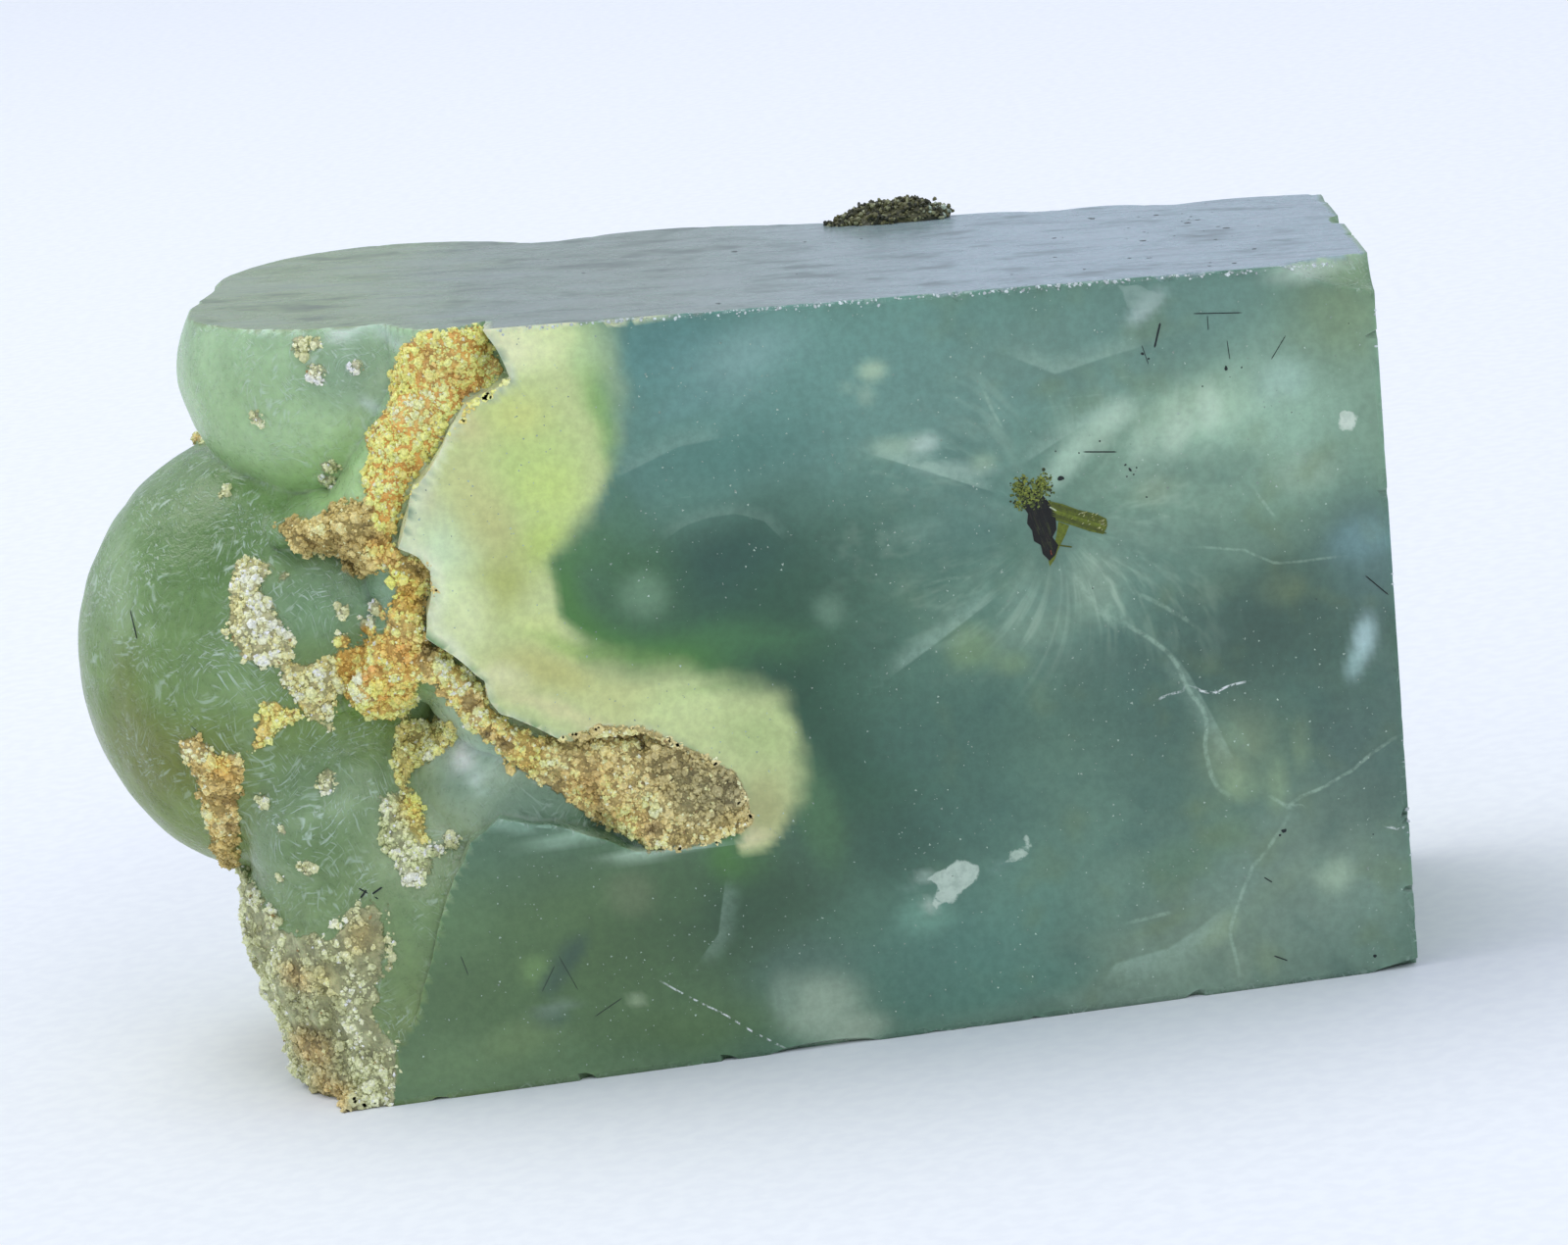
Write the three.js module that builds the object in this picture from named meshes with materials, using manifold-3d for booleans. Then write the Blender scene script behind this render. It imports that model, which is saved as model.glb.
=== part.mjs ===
// Raw prehnite: a sawn block of botryoidal prehnite, in millimetres, +Z up.
// Four sides are saw cuts. The left end and the back are natural: rounded lobes, with a grainy
// ochre crust in the crevices between them and a tuft of epidote crystals at the top of the back.
// The saw frame has its origin at the lower right corner of the front cut, X to the right,
// Y into the stone from the front cut, and Z up. The finished group is moved so that its own
// origin is the middle of its bounding box's base.
import * as THREE from "three";
import { mergeVertices } from "three/addons/utils/BufferGeometryUtils.js";
import Module from "manifold-3d";

const wasm = await Module();
wasm.setup();

// ---- driving dimensions ---------------------------------------------------------------------
const TOP_AT_RIGHT = 43.75; // height of the top cut at x = 0
const TOP_FALL = -0.0567; // rise of the top cut per mm along +X: the left end is the tall one
const RIGHT_LEAN = 0.0489; // the right cut leans out by this much per mm of height
const RIGHT_AT_BASE = 0.45; // x of the right cut at the base
const SAW_MARGIN = 30; // how far the cutting block reaches past the stone on its open sides
const CORE_BACK = 19; // the core behind the front cut ends here, inside the back lobes
const GRID = 3.5; // wanted edge of a facet on the natural lobes
const LOBE_RELIEF = 0.22; // how far a lobe's skin wanders from its ellipsoid

// The left edge of the front cut, from the top down: the rim over the crevice, the pocket that
// runs in under it, and the lip that climbs down to the base. [x, z]
const RIM = [
  [-50.4, 52], [-50.4, 46.4], [-49.1, 43.6], [-51.9, 42.1], [-54.6, 39], [-56.4, 36.4],
  [-57.2, 34.2], [-55.8, 33.2], [-55.7, 31], [-56.4, 28.8], [-54.4, 26.6], [-53.2, 24.3],
  [-51.1, 22.4], [-48.6, 21], [-44.4, 21.1], [-41.5, 19.2], [-39.4, 17.5], [-38.7, 14.2],
];
const LIP = [
  [-41, 13.5], [-44.4, 13.5], [-49.7, 15.7], [-53.6, 16.7], [-55.8, 15.4], [-57.6, 12.2],
  [-59.2, 8.4], [-61, 5], [-63.4, 2], [-65.8, -4],
];

// Natural lobes as ellipsoids: centre, radii, and yaw in degrees about Z.
const END_LOBES = [
  { at: [-58.5, 15.5, 43.5], r: [11.6, 11, 9.8], yaw: -20 }, // upper left, cut by the top
  { at: [-57, 26, 43], r: [11.6, 12.6, 12], yaw: 0 }, // behind it
  { at: [-66.2, 17, 25.4], r: [12.9, 14, 14.1], yaw: 0 }, // the large left lobe
  { at: [-61.7, 9.4, 29.6], r: [5, 5.9, 5], yaw: 0 }, // low dome on the large lobe
  { at: [-63.6, 9, 16.8], r: [6.4, 7.2, 6.5], yaw: 0 }, // lower middle
  { at: [-51.8, 9.6, 17], r: [8.4, 8.6, 6], yaw: 0 }, // shelf between the crevice and the lip
  { at: [-60.3, 12.4, 9.5], r: [10.2, 12.2, 12], yaw: 0 }, // lower left flank
  { at: [-59.4, 9.8, 3], r: [9.2, 10, 9], yaw: 0 }, // foot of the flank
  { at: [-58, 24, 21], r: [15, 14.6, 18], yaw: 0 }, // inner mass behind the left end
  { at: [-50, 18, 25], r: [10, 12, 13], yaw: 0 }, // inner mass behind the crevice
  { at: [-52, 20, 6], r: [13, 13, 14], yaw: 0 }, // inner mass over the base
];
const BACK_LOBES = [
  { at: [-40, 19, 39], r: [16, 18.4, 15], yaw: 0 },
  { at: [-21, 15, 40], r: [14.5, 17.2, 15], yaw: 0 },
  { at: [-3, 14, 36], r: [15, 16.8, 17], yaw: 0 },
  { at: [-38, 17.5, 14], r: [16, 18.6, 16], yaw: 0 },
  { at: [-17, 14, 22], r: [15, 18, 13], yaw: 0 },
  { at: [-22, 15, 4], r: [15, 15.8, 13], yaw: 0 },
  { at: [-1, 13.5, 12], r: [15, 16.6, 17], yaw: 0 },
  { at: [-30, 28, 27], r: [6.6, 5.6, 6], yaw: 0 },
  { at: [-47, 31, 26], r: [6, 5.4, 5.4], yaw: 0 },
  { at: [-28, 17, 27], r: [20, 9, 14], yaw: 0 }, // inner mass behind the core
];

// Crust bedded in the crevices: [x, z, half width, depth of the crest behind the front cut]
// along each run.
const CREVICES = [
  [[-53, 46, 2.8, 1.5], [-53.4, 42.4, 3, 1.5], [-56.6, 38.6, 2.3, 1.8], [-58.6, 35.2, 2.5, 2]],
  [[-57.6, 33, 1.9, 1.6], [-57.6, 30, 1.9, 1.5], [-58, 27.4, 2.2, 1.6], [-55.4, 25, 1.8, 1.4]],
  [[-55.4, 25, 1.8, 1.4], [-53.4, 22, 1.9, 1.2], [-50.2, 20, 1.8, 1], [-46.8, 18.8, 2.1, 0.6]],
  [[-46, 18, 2.6, 0.5], [-43, 17.2, 2.7, 0.5], [-40.4, 15.8, 1.7, 0.4]],
  [[-58.4, 35.4, 2, 2], [-61.6, 35.2, 1.4, 3], [-64.4, 34.8, 1.1, 5]],
  [[-58.2, 26.4, 2, 1.8], [-61.4, 24.4, 1.6, 3], [-64.4, 24, 1.3, 3.2], [-66.8, 22.4, 1.1, 3.4]],
];
const BED_STEP = 2.6; // spacing of the bed's masses along a run
const BED_DEPTH = 6; // how deep they reach

// Grainy patches: [x, z, half width] runs on which crust lumps sit.
const PATCHES = [
  ...CREVICES.map((run) => run.map((point) => point.slice(0, 3))),
  [[-66.6, 31.8, 0.9], [-67, 28.6, 1.2], [-65.6, 26, 1.3], [-63.6, 23.8, 1.4]],
  [[-69.6, 19.6, 0.8], [-70.6, 16.6, 0.9], [-70.4, 13.6, 0.8]],
  [[-58.2, 22.4, 1], [-58.6, 19, 0.9], [-58.6, 15.6, 1], [-59.4, 13, 1.2]],
  [[-69.4, 12.4, 0.9], [-66.4, 9.2, 1.6], [-62.8, 10.4, 1.4]],
  [[-66.4, 8, 1.6], [-66, 4.4, 1.8], [-65.4, 1.2, 1.6]],
];
const LUMP_STEP = 1.8; // spacing of lumps along a patch
const LUMP_RADIUS = [0.8, 1.35];

// Tuft of epidote prisms on the back's upper edge, left standing by the saw.
const TUFT_AT = [-24.8, 31, 43.9];
const TUFT_REACH = [4.2, 1.5, 1.1]; // half size of the tuft along X, Y and Z
const TUFT_PRISMS = 11;

// Chips out of the saw cuts' edges: a run from one end to the other in the saw frame, how many
// chips it has and their radii.
const topAt = (x) => TOP_AT_RIGHT + TOP_FALL * x;
const rightAt = (z) => RIGHT_AT_BASE + RIGHT_LEAN * z;
const EDGE_CHIPS = [
  { from: [-48, 0, topAt(-48)], to: [-3, 0, topAt(-3)], count: 7, r: [0.3, 0.6] },
  { from: [-62, 0, 0], to: [-1, 0, 0], count: 8, r: [0.35, 0.8] },
  { from: [rightAt(2), 0, 2], to: [rightAt(40), 0, 40], count: 6, r: [0.3, 0.7] },
  { from: [rightAt(44), 3, topAt(2)], to: [rightAt(44), 29, topAt(2)], count: 7, r: [0.6, 1.3] },
  { from: [rightAt(0), 4, 0], to: [rightAt(0), 27, 0], count: 4, r: [0.5, 1] },
];
// Larger breaks: centre and radii of the lens that is missing, and its yaw, pitch and roll.
const BREAKS = [
  { at: [1.6, -0.6, 44.6], r: [6.8, 3.4, 2.6], turn: [0, 0.32, 0] }, // corner over the front's right end
  { at: [3.4, 16.4, 44.2], r: [1.7, 2.2, 1.5], turn: [0, 0, 0] }, // notch in the top's right edge
  { at: [0.6, -0.3, -0.3], r: [6, 1.4, 0.9], turn: [0, -0.14, 0] }, // foot of the front's right end
  { at: [-36, -0.5, -0.3], r: [4.4, 1.2, 0.8], turn: [0, 0, 0] }, // flake along the front's base
];

// ---- small helpers ----------------------------------------------------------------------------
// A repeatable stream of numbers from 0 to 1.
function stream(seed) {
  let state = seed;
  return () => {
    state = (state + 0x6d2b79f5) | 0;
    let t = Math.imul(state ^ (state >>> 15), 1 | state);
    t = (t + Math.imul(t ^ (t >>> 7), 61 | t)) ^ t;
    return ((t ^ (t >>> 14)) >>> 0) / 4294967296;
  };
}
const between = (random, low, high) => low + (high - low) * random();

// A sum of slow sine waves: smooth relief from about -1 to 1.
function swell(x, y, z, pitch) {
  const a = Math.sin(x / pitch + 1.7 * Math.sin(z / pitch / 1.3));
  const b = Math.sin(y / pitch / 0.8 + 1.3 * Math.sin(x / pitch / 1.1 + 2));
  const c = Math.sin(z / pitch / 0.9 + 1.5 * Math.sin(y / pitch + 4));
  return (a + b + c) / 3;
}

// A three.js geometry as a manifold-3d solid, and back.
function solidOf(geometry) {
  const bare = geometry.clone();
  bare.deleteAttribute("normal");
  bare.deleteAttribute("uv");
  const merged = mergeVertices(bare, 1e-4);
  return new wasm.Manifold(
    new wasm.Mesh({
      numProp: 3,
      vertProperties: new Float32Array(merged.attributes.position.array),
      triVerts: new Uint32Array(merged.index.array),
    }),
  );
}
function geometryOf(solid) {
  const mesh = solid.getMesh();
  const geometry = new THREE.BufferGeometry();
  geometry.setAttribute("position", new THREE.BufferAttribute(mesh.vertProperties, 3));
  geometry.setIndex(new THREE.BufferAttribute(mesh.triVerts, 1));
  geometry.computeVertexNormals();
  return geometry;
}

// ---- the natural body -------------------------------------------------------------------------
// One lobe: an icosphere stretched to its radii, with a gently wandering skin.
function lobe({ at, r, yaw }) {
  const detail = Math.max(2, Math.round((1.15 * Math.max(...r)) / GRID) - 1);
  const geometry = new THREE.IcosahedronGeometry(1, detail);
  const points = geometry.attributes.position;
  const p = new THREE.Vector3();
  const radii = new THREE.Vector3(...r);
  const turn = new THREE.Matrix4().makeRotationZ(THREE.MathUtils.degToRad(yaw));
  for (let i = 0; i < points.count; i++) {
    p.fromBufferAttribute(points, i).multiply(radii);
    const skin = 1 + (LOBE_RELIEF * swell(p.x + at[0], p.y + at[1], p.z + at[2], 2.6)) / p.length();
    p.multiplyScalar(skin).applyMatrix4(turn);
    points.setXYZ(i, p.x + at[0], p.y + at[1], p.z + at[2]);
  }
  return solidOf(geometry);
}

// Depth behind the front cut at which the sight line through (x, z) meets a lobe, or Infinity.
function lobeDepth({ at, r, yaw }, x, z) {
  const a = THREE.MathUtils.degToRad(yaw ?? 0);
  const dx = x - at[0];
  const height = (z - at[2]) / r[2];
  // The line (dx, t) turned into the lobe's own axes, then scaled to a unit sphere.
  const u0 = (dx * Math.cos(a)) / r[0];
  const v0 = (-dx * Math.sin(a)) / r[1];
  const u1 = Math.sin(a) / r[0];
  const v1 = Math.cos(a) / r[1];
  const A = u1 * u1 + v1 * v1;
  const B = 2 * (u0 * u1 + v0 * v1);
  const C = u0 * u0 + v0 * v0 + height * height - 1;
  const under = B * B - 4 * A * C;
  return under < 0 ? Infinity : at[1] + (-B - Math.sqrt(under)) / (2 * A);
}

// Points along a run [x, z, half width], one every step.
function along(run, step) {
  const points = [];
  for (let i = 0; i + 1 < run.length; i++) {
    const [a, b] = [run[i], run[i + 1]];
    const count = Math.max(1, Math.round(Math.hypot(b[0] - a[0], b[1] - a[1]) / step));
    for (let k = 0; k < count; k++) points.push(a.map((v, j) => v + ((b[j] - v) * k) / count));
  }
  points.push(run.at(-1));
  return points;
}

// The crust's bed: overlapping rough masses along each crevice, their crests at the run's depth.
const BED = CREVICES.flatMap((run) =>
  along(run, BED_STEP).map(([x, z, half, crest]) => ({
    at: [x, crest + BED_DEPTH, z],
    r: [half * 1.3, BED_DEPTH, half * 1.3],
    yaw: 0,
  })),
);

// The core behind the front cut, with the rim and lip as its left side.
function core() {
  const right = rightAt(0) + SAW_MARGIN / 3;
  const outline = [...RIM, ...LIP, [right, -4], [right, 52]].map(([x, z]) => new THREE.Vector2(x, z));
  const shape = new THREE.Shape(outline);
  const geometry = new THREE.ExtrudeGeometry(shape, { depth: CORE_BACK + 1, bevelEnabled: false });
  // Extruded along its own +Z, the shape is stood up so that it reaches from y = -1 backwards.
  geometry.rotateX(Math.PI / 2);
  geometry.translate(0, CORE_BACK, 0);
  return solidOf(geometry);
}

// The block that the four saw cuts leave: a slanted box, open far to the left and the back.
function sawnBlock() {
  const left = -79 - SAW_MARGIN;
  const back = 40 + SAW_MARGIN;
  const outline = [
    [left, 0],
    [rightAt(0), 0],
    [rightAt(44), topAt(rightAt(44))],
    [left, topAt(left)],
  ].map(([x, z]) => new THREE.Vector2(x, z));
  const geometry = new THREE.ExtrudeGeometry(new THREE.Shape(outline), {
    depth: back,
    bevelEnabled: false,
  });
  geometry.rotateX(Math.PI / 2);
  geometry.translate(0, back, 0);
  return solidOf(geometry);
}

// ---- crust, tuft and chips --------------------------------------------------------------------
// A small angular lump: an icosahedron with each corner pushed in or out by up to `rough`.
function lump(centre, radii, turn, random, detail = 0, rough = 0.17) {
  const geometry = mergeVertices(withoutNormals(new THREE.IcosahedronGeometry(1, detail)), 1e-4);
  const points = geometry.attributes.position;
  const matrix = new THREE.Matrix4().compose(
    new THREE.Vector3(...centre),
    new THREE.Quaternion().setFromEuler(new THREE.Euler(...turn)),
    new THREE.Vector3(...radii),
  );
  const p = new THREE.Vector3();
  for (let i = 0; i < points.count; i++) {
    p.fromBufferAttribute(points, i);
    p.multiplyScalar(between(random, 1 - rough, 1 + rough)).applyMatrix4(matrix);
    points.setXYZ(i, p.x, p.y, p.z);
  }
  return solidOf(geometry);
}
function withoutNormals(geometry) {
  geometry.deleteAttribute("normal");
  geometry.deleteAttribute("uv");
  return geometry;
}

const anyTurn = (random) => [0, 1, 2].map(() => between(random, 0, Math.PI));

function bedMasses() {
  const random = stream(5);
  return BED.map(({ at, r }) => lump(at, r, [0, 0, 0], random, 1, 0.06));
}

// Lumps of crust along every patch, half sunk in what they sit on.
function crustLumps() {
  const random = stream(11);
  const carriers = [...END_LOBES, ...BED];
  const lumps = [];
  for (const run of PATCHES) {
    for (const [x0, z0, half] of along(run, LUMP_STEP)) {
      const x = x0 + between(random, -0.7, 0.7) * half;
      const z = z0 + between(random, -0.7, 0.7) * half;
      const depth = Math.min(...carriers.map((c) => lobeDepth(c, x, z)));
      if (!Number.isFinite(depth)) continue;
      const radius = between(random, ...LUMP_RADIUS) * Math.min(1.25, 0.6 + half / 3);
      lumps.push(lump([x, depth + 0.25 * radius, z], [radius, radius * 0.8, radius], anyTurn(random), random));
    }
  }
  return lumps;
}

// Epidote: blunt six-sided prisms, crossing in a low tuft.
function epidoteTuft() {
  const random = stream(23);
  const prisms = [];
  for (let i = 0; i < TUFT_PRISMS; i++) {
    const radius = between(random, 0.55, 1.05);
    const geometry = new THREE.CylinderGeometry(radius, radius * 0.9, between(random, 3, 5.4), 6);
    geometry.rotateX(between(random, -0.7, 0.7) + Math.PI / 2);
    geometry.rotateY(between(random, -1.2, 1.2));
    geometry.rotateZ(between(random, -1.4, 1.4));
    const at = TUFT_AT.map((v, k) => v + between(random, -1, 1) * TUFT_REACH[k] * 0.8);
    geometry.translate(...at);
    prisms.push(solidOf(geometry));
  }
  return prisms;
}

// Everything that is missing from the cuts' edges.
function chips() {
  const random = stream(37);
  const missing = [];
  for (const { from, to, count, r } of EDGE_CHIPS) {
    for (let i = 0; i < count; i++) {
      const share = (i + between(random, 0.1, 0.9)) / count;
      const size = between(random, ...r);
      const centre = from.map((v, k) => v + (to[k] - v) * share + between(random, -0.15, 0.15));
      missing.push(lump(centre, [size * 1.5, size * 0.8, size], anyTurn(random), random));
    }
  }
  for (const { at, r, turn } of BREAKS) missing.push(lump(at, r, turn, random, 1, 0.05));
  return missing;
}

// ---- the stone --------------------------------------------------------------------------------
function stone() {
  const natural = wasm.Manifold.union([
    core(),
    ...[...END_LOBES, ...BACK_LOBES].map(lobe),
    ...bedMasses(),
    ...crustLumps(),
  ]);
  const sawn = natural.intersect(sawnBlock());
  const tufted = wasm.Manifold.union([sawn, ...epidoteTuft()]);
  return tufted.subtract(wasm.Manifold.union(chips()));
}

const prehnite = new THREE.MeshStandardMaterial({ color: 0x5f8f78, roughness: 0.3, metalness: 0 });
const block = new THREE.Mesh(geometryOf(stone()), prehnite);
block.name = "prehnite_block";

// The group's origin is the middle of the bounding box's base.
block.geometry.computeBoundingBox();
const box = block.geometry.boundingBox;
block.position.set(-(box.min.x + box.max.x) / 2, -(box.min.y + box.max.y) / 2, -box.min.z);

const group = new THREE.Group();
group.add(block);

export default group;
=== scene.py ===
"""Raw prehnite: the looks of a sawn, botryoidal block with an ochre crust and epidote crystals."""

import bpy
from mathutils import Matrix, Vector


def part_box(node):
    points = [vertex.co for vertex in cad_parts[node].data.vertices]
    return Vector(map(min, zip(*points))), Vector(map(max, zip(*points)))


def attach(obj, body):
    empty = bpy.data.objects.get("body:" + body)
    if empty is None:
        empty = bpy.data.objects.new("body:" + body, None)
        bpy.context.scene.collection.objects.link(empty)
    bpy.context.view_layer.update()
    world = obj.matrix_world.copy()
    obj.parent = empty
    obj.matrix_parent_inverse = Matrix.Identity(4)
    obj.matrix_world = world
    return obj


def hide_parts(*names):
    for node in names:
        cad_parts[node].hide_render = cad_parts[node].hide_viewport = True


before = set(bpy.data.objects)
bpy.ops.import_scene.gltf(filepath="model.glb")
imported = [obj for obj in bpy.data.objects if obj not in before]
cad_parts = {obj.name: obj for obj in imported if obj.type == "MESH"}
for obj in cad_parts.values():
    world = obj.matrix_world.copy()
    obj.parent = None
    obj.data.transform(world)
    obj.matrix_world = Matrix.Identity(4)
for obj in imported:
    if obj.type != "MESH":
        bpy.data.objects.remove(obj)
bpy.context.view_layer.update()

import math

import bpy
import numpy as np
from mathutils import Matrix, Vector

F32 = np.float32
MM = 0.001
scene = bpy.context.scene

# ---- the saw frame --------------------------------------------------------------------------
# Millimetres. The origin is the lower right corner of the front cut, X to the right, Y into
# the stone from the front cut, Z up. The CAD's box places it in the shared frame.
SAW_LEFT = -79.177
block_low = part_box("prehnite_block")[0]
SHIFT = np.array([block_low[0] / MM - SAW_LEFT, block_low[1] / MM, block_low[2] / MM])

# The ground top's height at x = 0, its slope and the cosine of that; then the right end's place
# at z = 0, its lean and the cosine of that.
TOP_AT_RIGHT, TOP_FALL, TOP_COSINE = 43.75, -0.0567, 0.9984
RIGHT_AT_BASE, RIGHT_LEAN, RIGHT_COSINE = 0.45, 0.0489, 0.9988
CORE_BACK = 19.0  # how far back the core behind the front cut goes
POCKET_DEPTH = 0.7  # how far the crust in the front cut lies back from it
BEHIND = 20  # how far into the stone the front's crust ends and the back's begins
# The left edge of the front cut, read off the photograph in picture points, from the top down:
# the rim over the crevice, then the lip that climbs down to the base.
RIM_POINTS = [
    (490, 333), (514, 371), (522, 387), (499, 402), (475, 414), (455, 446), (439, 478), (420, 501),
    (415, 525), (406, 560), (427, 570), (439, 584), (441, 608), (435, 628), (435, 651), (455, 663),
    (475, 679), (495, 695), (497, 715), (510, 727), (538, 738), (562, 750), (582, 758), (601, 752),
    (633, 750), (657, 746), (680, 758), (708, 770), (728, 782), (748, 794), (756, 810), (763, 837),
]
LIP_POINTS = [
    (763, 849), (728, 859), (688, 869), (649, 869), (617, 857), (578, 845), (538, 841), (510, 835),
    (480, 860), (455, 920), (440, 980), (425, 1040), (395, 1090), (350, 1132),
]
# Natural lobes as ellipsoids: centre, radii and yaw in degrees.
END_LOBES = [
    ((-58.5, 15.5, 43.5), (11.6, 11, 9.8), -20),
    ((-57, 26, 43), (11.6, 12.6, 12), 0),
    ((-66.2, 17, 25.4), (12.9, 14, 14.1), 0),
    ((-61.7, 9.4, 29.6), (5, 5.9, 5), 0),
    ((-63.6, 9, 16.8), (6.4, 7.2, 6.5), 0),
    ((-51.8, 9.6, 17), (8.4, 8.6, 6), 0),
    ((-60.3, 12.4, 9.5), (10.2, 12.2, 12), 0),
    ((-59.4, 9.8, 3), (9.2, 10, 9), 0),
    ((-58, 24, 21), (15, 14.6, 18), 0),
    ((-50, 18, 25), (10, 12, 13), 0),
    ((-52, 20, 6), (13, 13, 14), 0),
]
BACK_LOBES = [
    ((-40, 19, 39), (16, 18.4, 15), 0),
    ((-21, 15, 40), (14.5, 17.2, 15), 0),
    ((-3, 14, 36), (15, 16.8, 17), 0),
    ((-38, 17.5, 14), (16, 18.6, 16), 0),
    ((-17, 14, 22), (15, 18, 13), 0),
    ((-22, 15, 4), (15, 15.8, 13), 0),
    ((-1, 13.5, 12), (15, 16.6, 17), 0),
    ((-30, 28, 27), (6.6, 5.6, 6), 0),
    ((-47, 31, 26), (6, 5.4, 5.4), 0),
    ((-28, 17, 27), (20, 9, 14), 0),
    ((-49, 22.5, 40), (9, 12.5, 12), 0),
    ((-31, 18.2, 40), (11, 15.8, 12), 0),
    ((-12, 15, 39.5), (11, 16.4, 12), 0),
    ((-50.6, 13, 41.5), (6.5, 10.6, 9), 0),
    ((-58.6, 20.5, 42.5), (11, 10.5, 10), 0),
]
# The bed of the crust in the crevices: runs of (x, z, half width, depth of the crest).
CREVICES = [
    [(-53, 46, 2.8, 1.5), (-53.4, 42.4, 3, 1.5), (-56.6, 38.6, 2.3, 1.8), (-58.6, 35.2, 2.5, 2)],
    [(-57.6, 33, 1.9, 1.6), (-57.6, 30, 1.9, 1.5), (-58, 27.4, 2.2, 1.6), (-55.4, 25, 1.8, 1.4)],
    [(-55.4, 25, 1.8, 1.4), (-53.4, 22, 1.9, 1.2), (-50.2, 20, 1.8, 1), (-46.8, 18.8, 2.1, 0.6)],
    [(-46, 18, 2.6, 0.5), (-43, 17.2, 2.7, 0.5), (-40.4, 15.8, 1.7, 0.4)],
    [(-58.4, 35.4, 2, 2), (-61.6, 35.2, 1.4, 3), (-64.4, 34.8, 1.1, 5)],
    [(-58.2, 26.4, 2, 1.8), (-61.4, 24.4, 1.6, 3), (-64.4, 24, 1.3, 3.2), (-66.8, 22.4, 1.1, 3.4)],
]
BED_STEP, BED_DEPTH = 1.3, 6.0
# Pieces broken from the edges: centre, radii and pitch in radians.
BREAKS = [
    ((1.6, -0.6, 44.6), (6.8, 3.4, 2.6), 0.32),
    ((3.4, 16.4, 44.2), (1.7, 2.2, 1.5), 0),
    ((0.6, -0.3, -0.3), (6, 1.4, 0.9), -0.14),
    ((-36, -0.5, -0.3), (4.4, 1.2, 0.8), 0),
]
# Outlines of the grainy crust on the natural front, read off the photograph in picture points.
CRUST_POINTS = {
    "top": [
        (430, 332), (470, 326), (491, 331), (505, 360), (521, 387), (505, 402), (493, 410), (478, 425),
        (463, 440), (450, 462), (440, 480), (425, 498), (412, 515), (404, 545), (385, 545), (372, 530),
        (374, 505), (368, 487), (380, 465), (372, 445), (388, 425), (398, 412), (400, 385), (410, 358),
    ],
    "branch": [
        (283, 533), (300, 527), (318, 531), (343, 513), (373, 511), (400, 540), (400, 560), (385, 583),
        (370, 588), (358, 572), (345, 567), (325, 560), (313, 563), (297, 553),
    ],
    "rim": [
        (392, 545), (412, 566), (440, 577), (443, 606), (436, 630), (439, 655), (458, 668), (482, 690),
        (500, 705), (499, 722), (525, 742), (551, 754), (590, 758), (590, 800), (560, 790), (525, 778),
        (500, 757), (478, 740), (462, 722), (446, 700), (428, 690), (412, 670), (400, 650), (395, 630),
        (405, 600), (395, 580), (383, 565),
    ],
    "orange": [
        (343, 665), (365, 660), (400, 640), (430, 650), (440, 665), (425, 700), (427, 715), (412, 730),
        (395, 735), (372, 730), (352, 712), (340, 690),
    ],
    "mid": [
        (287, 672), (310, 680), (330, 672), (350, 668), (352, 700), (340, 715), (338, 735), (318, 735),
        (300, 712), (288, 697),
    ],
    "left": [
        (240, 573), (255, 567), (275, 577), (263, 602), (280, 622), (300, 657), (292, 678), (268, 680),
        (246, 668), (233, 645), (236, 600),
    ],
    "yellow": [
        (273, 713), (290, 722), (312, 728), (300, 738), (285, 742), (275, 755), (257, 768), (262, 742),
        (266, 722),
    ],
    "farleft": [
        (182, 757), (205, 752), (222, 772), (243, 765), (248, 785), (242, 815), (242, 850), (243, 880),
        (236, 910), (225, 880), (215, 850), (206, 815), (200, 785), (188, 775),
    ],
    "drip": [
        (410, 732), (440, 735), (466, 738), (462, 760), (440, 775), (420, 785), (415, 800), (428, 818),
        (435, 850), (420, 860), (408, 850), (412, 820), (405, 795), (402, 765),
    ],
    "white": [
        (388, 812), (405, 808), (425, 835), (438, 860), (440, 890), (428, 903), (410, 900), (405, 880),
        (390, 865), (388, 840),
    ],
    "low": [
        (238, 900), (262, 905), (290, 940), (330, 953), (353, 933), (378, 910), (395, 922), (402, 960),
        (399, 985), (385, 1000), (388, 1033), (406, 1060), (410, 1092), (402, 1115), (397, 1150),
        (325, 1160), (297, 1130), (275, 1090), (255, 1035), (245, 980), (232, 930),
    ],
    "pocket": [
        (590, 745), (612, 740), (655, 741), (690, 757), (705, 764), (720, 770), (751, 788), (763, 810),
        (768, 841), (750, 853), (725, 858), (700, 866), (660, 852), (640, 840), (604, 838), (590, 822),
        (570, 808), (540, 790), (520, 778), (540, 760),
    ],
}
# Stray specks of crust on the lobes: picture point and radius in picture pixels.
SPECK_POINTS = [
    (307, 353, 10), (323, 380, 9), (363, 373, 7), (263, 427, 7), (337, 477, 9), (333, 490, 7),
    (290, 588, 5), (350, 623, 7), (385, 620, 8), (375, 637, 9), (350, 653, 8), (337, 743, 4),
    (230, 500, 4), (267, 817, 7), (333, 797, 10), (287, 847, 5), (313, 887, 8), (287, 897, 5),
    (460, 857, 8), (357, 577, 8), (447, 867, 6), (322, 351, 6), (203, 790, 6),
]

# ---- the camera -----------------------------------------------------------------------------
PICTURE_W, PICTURE_H = 1600, 1270
TARGET = np.array([-35.0, 0.0, 26.55])
DISTANCE, ELEVATION, ROLL, FOCAL_PX = 380.0, 12.0, 7.75, 6460.0


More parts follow.
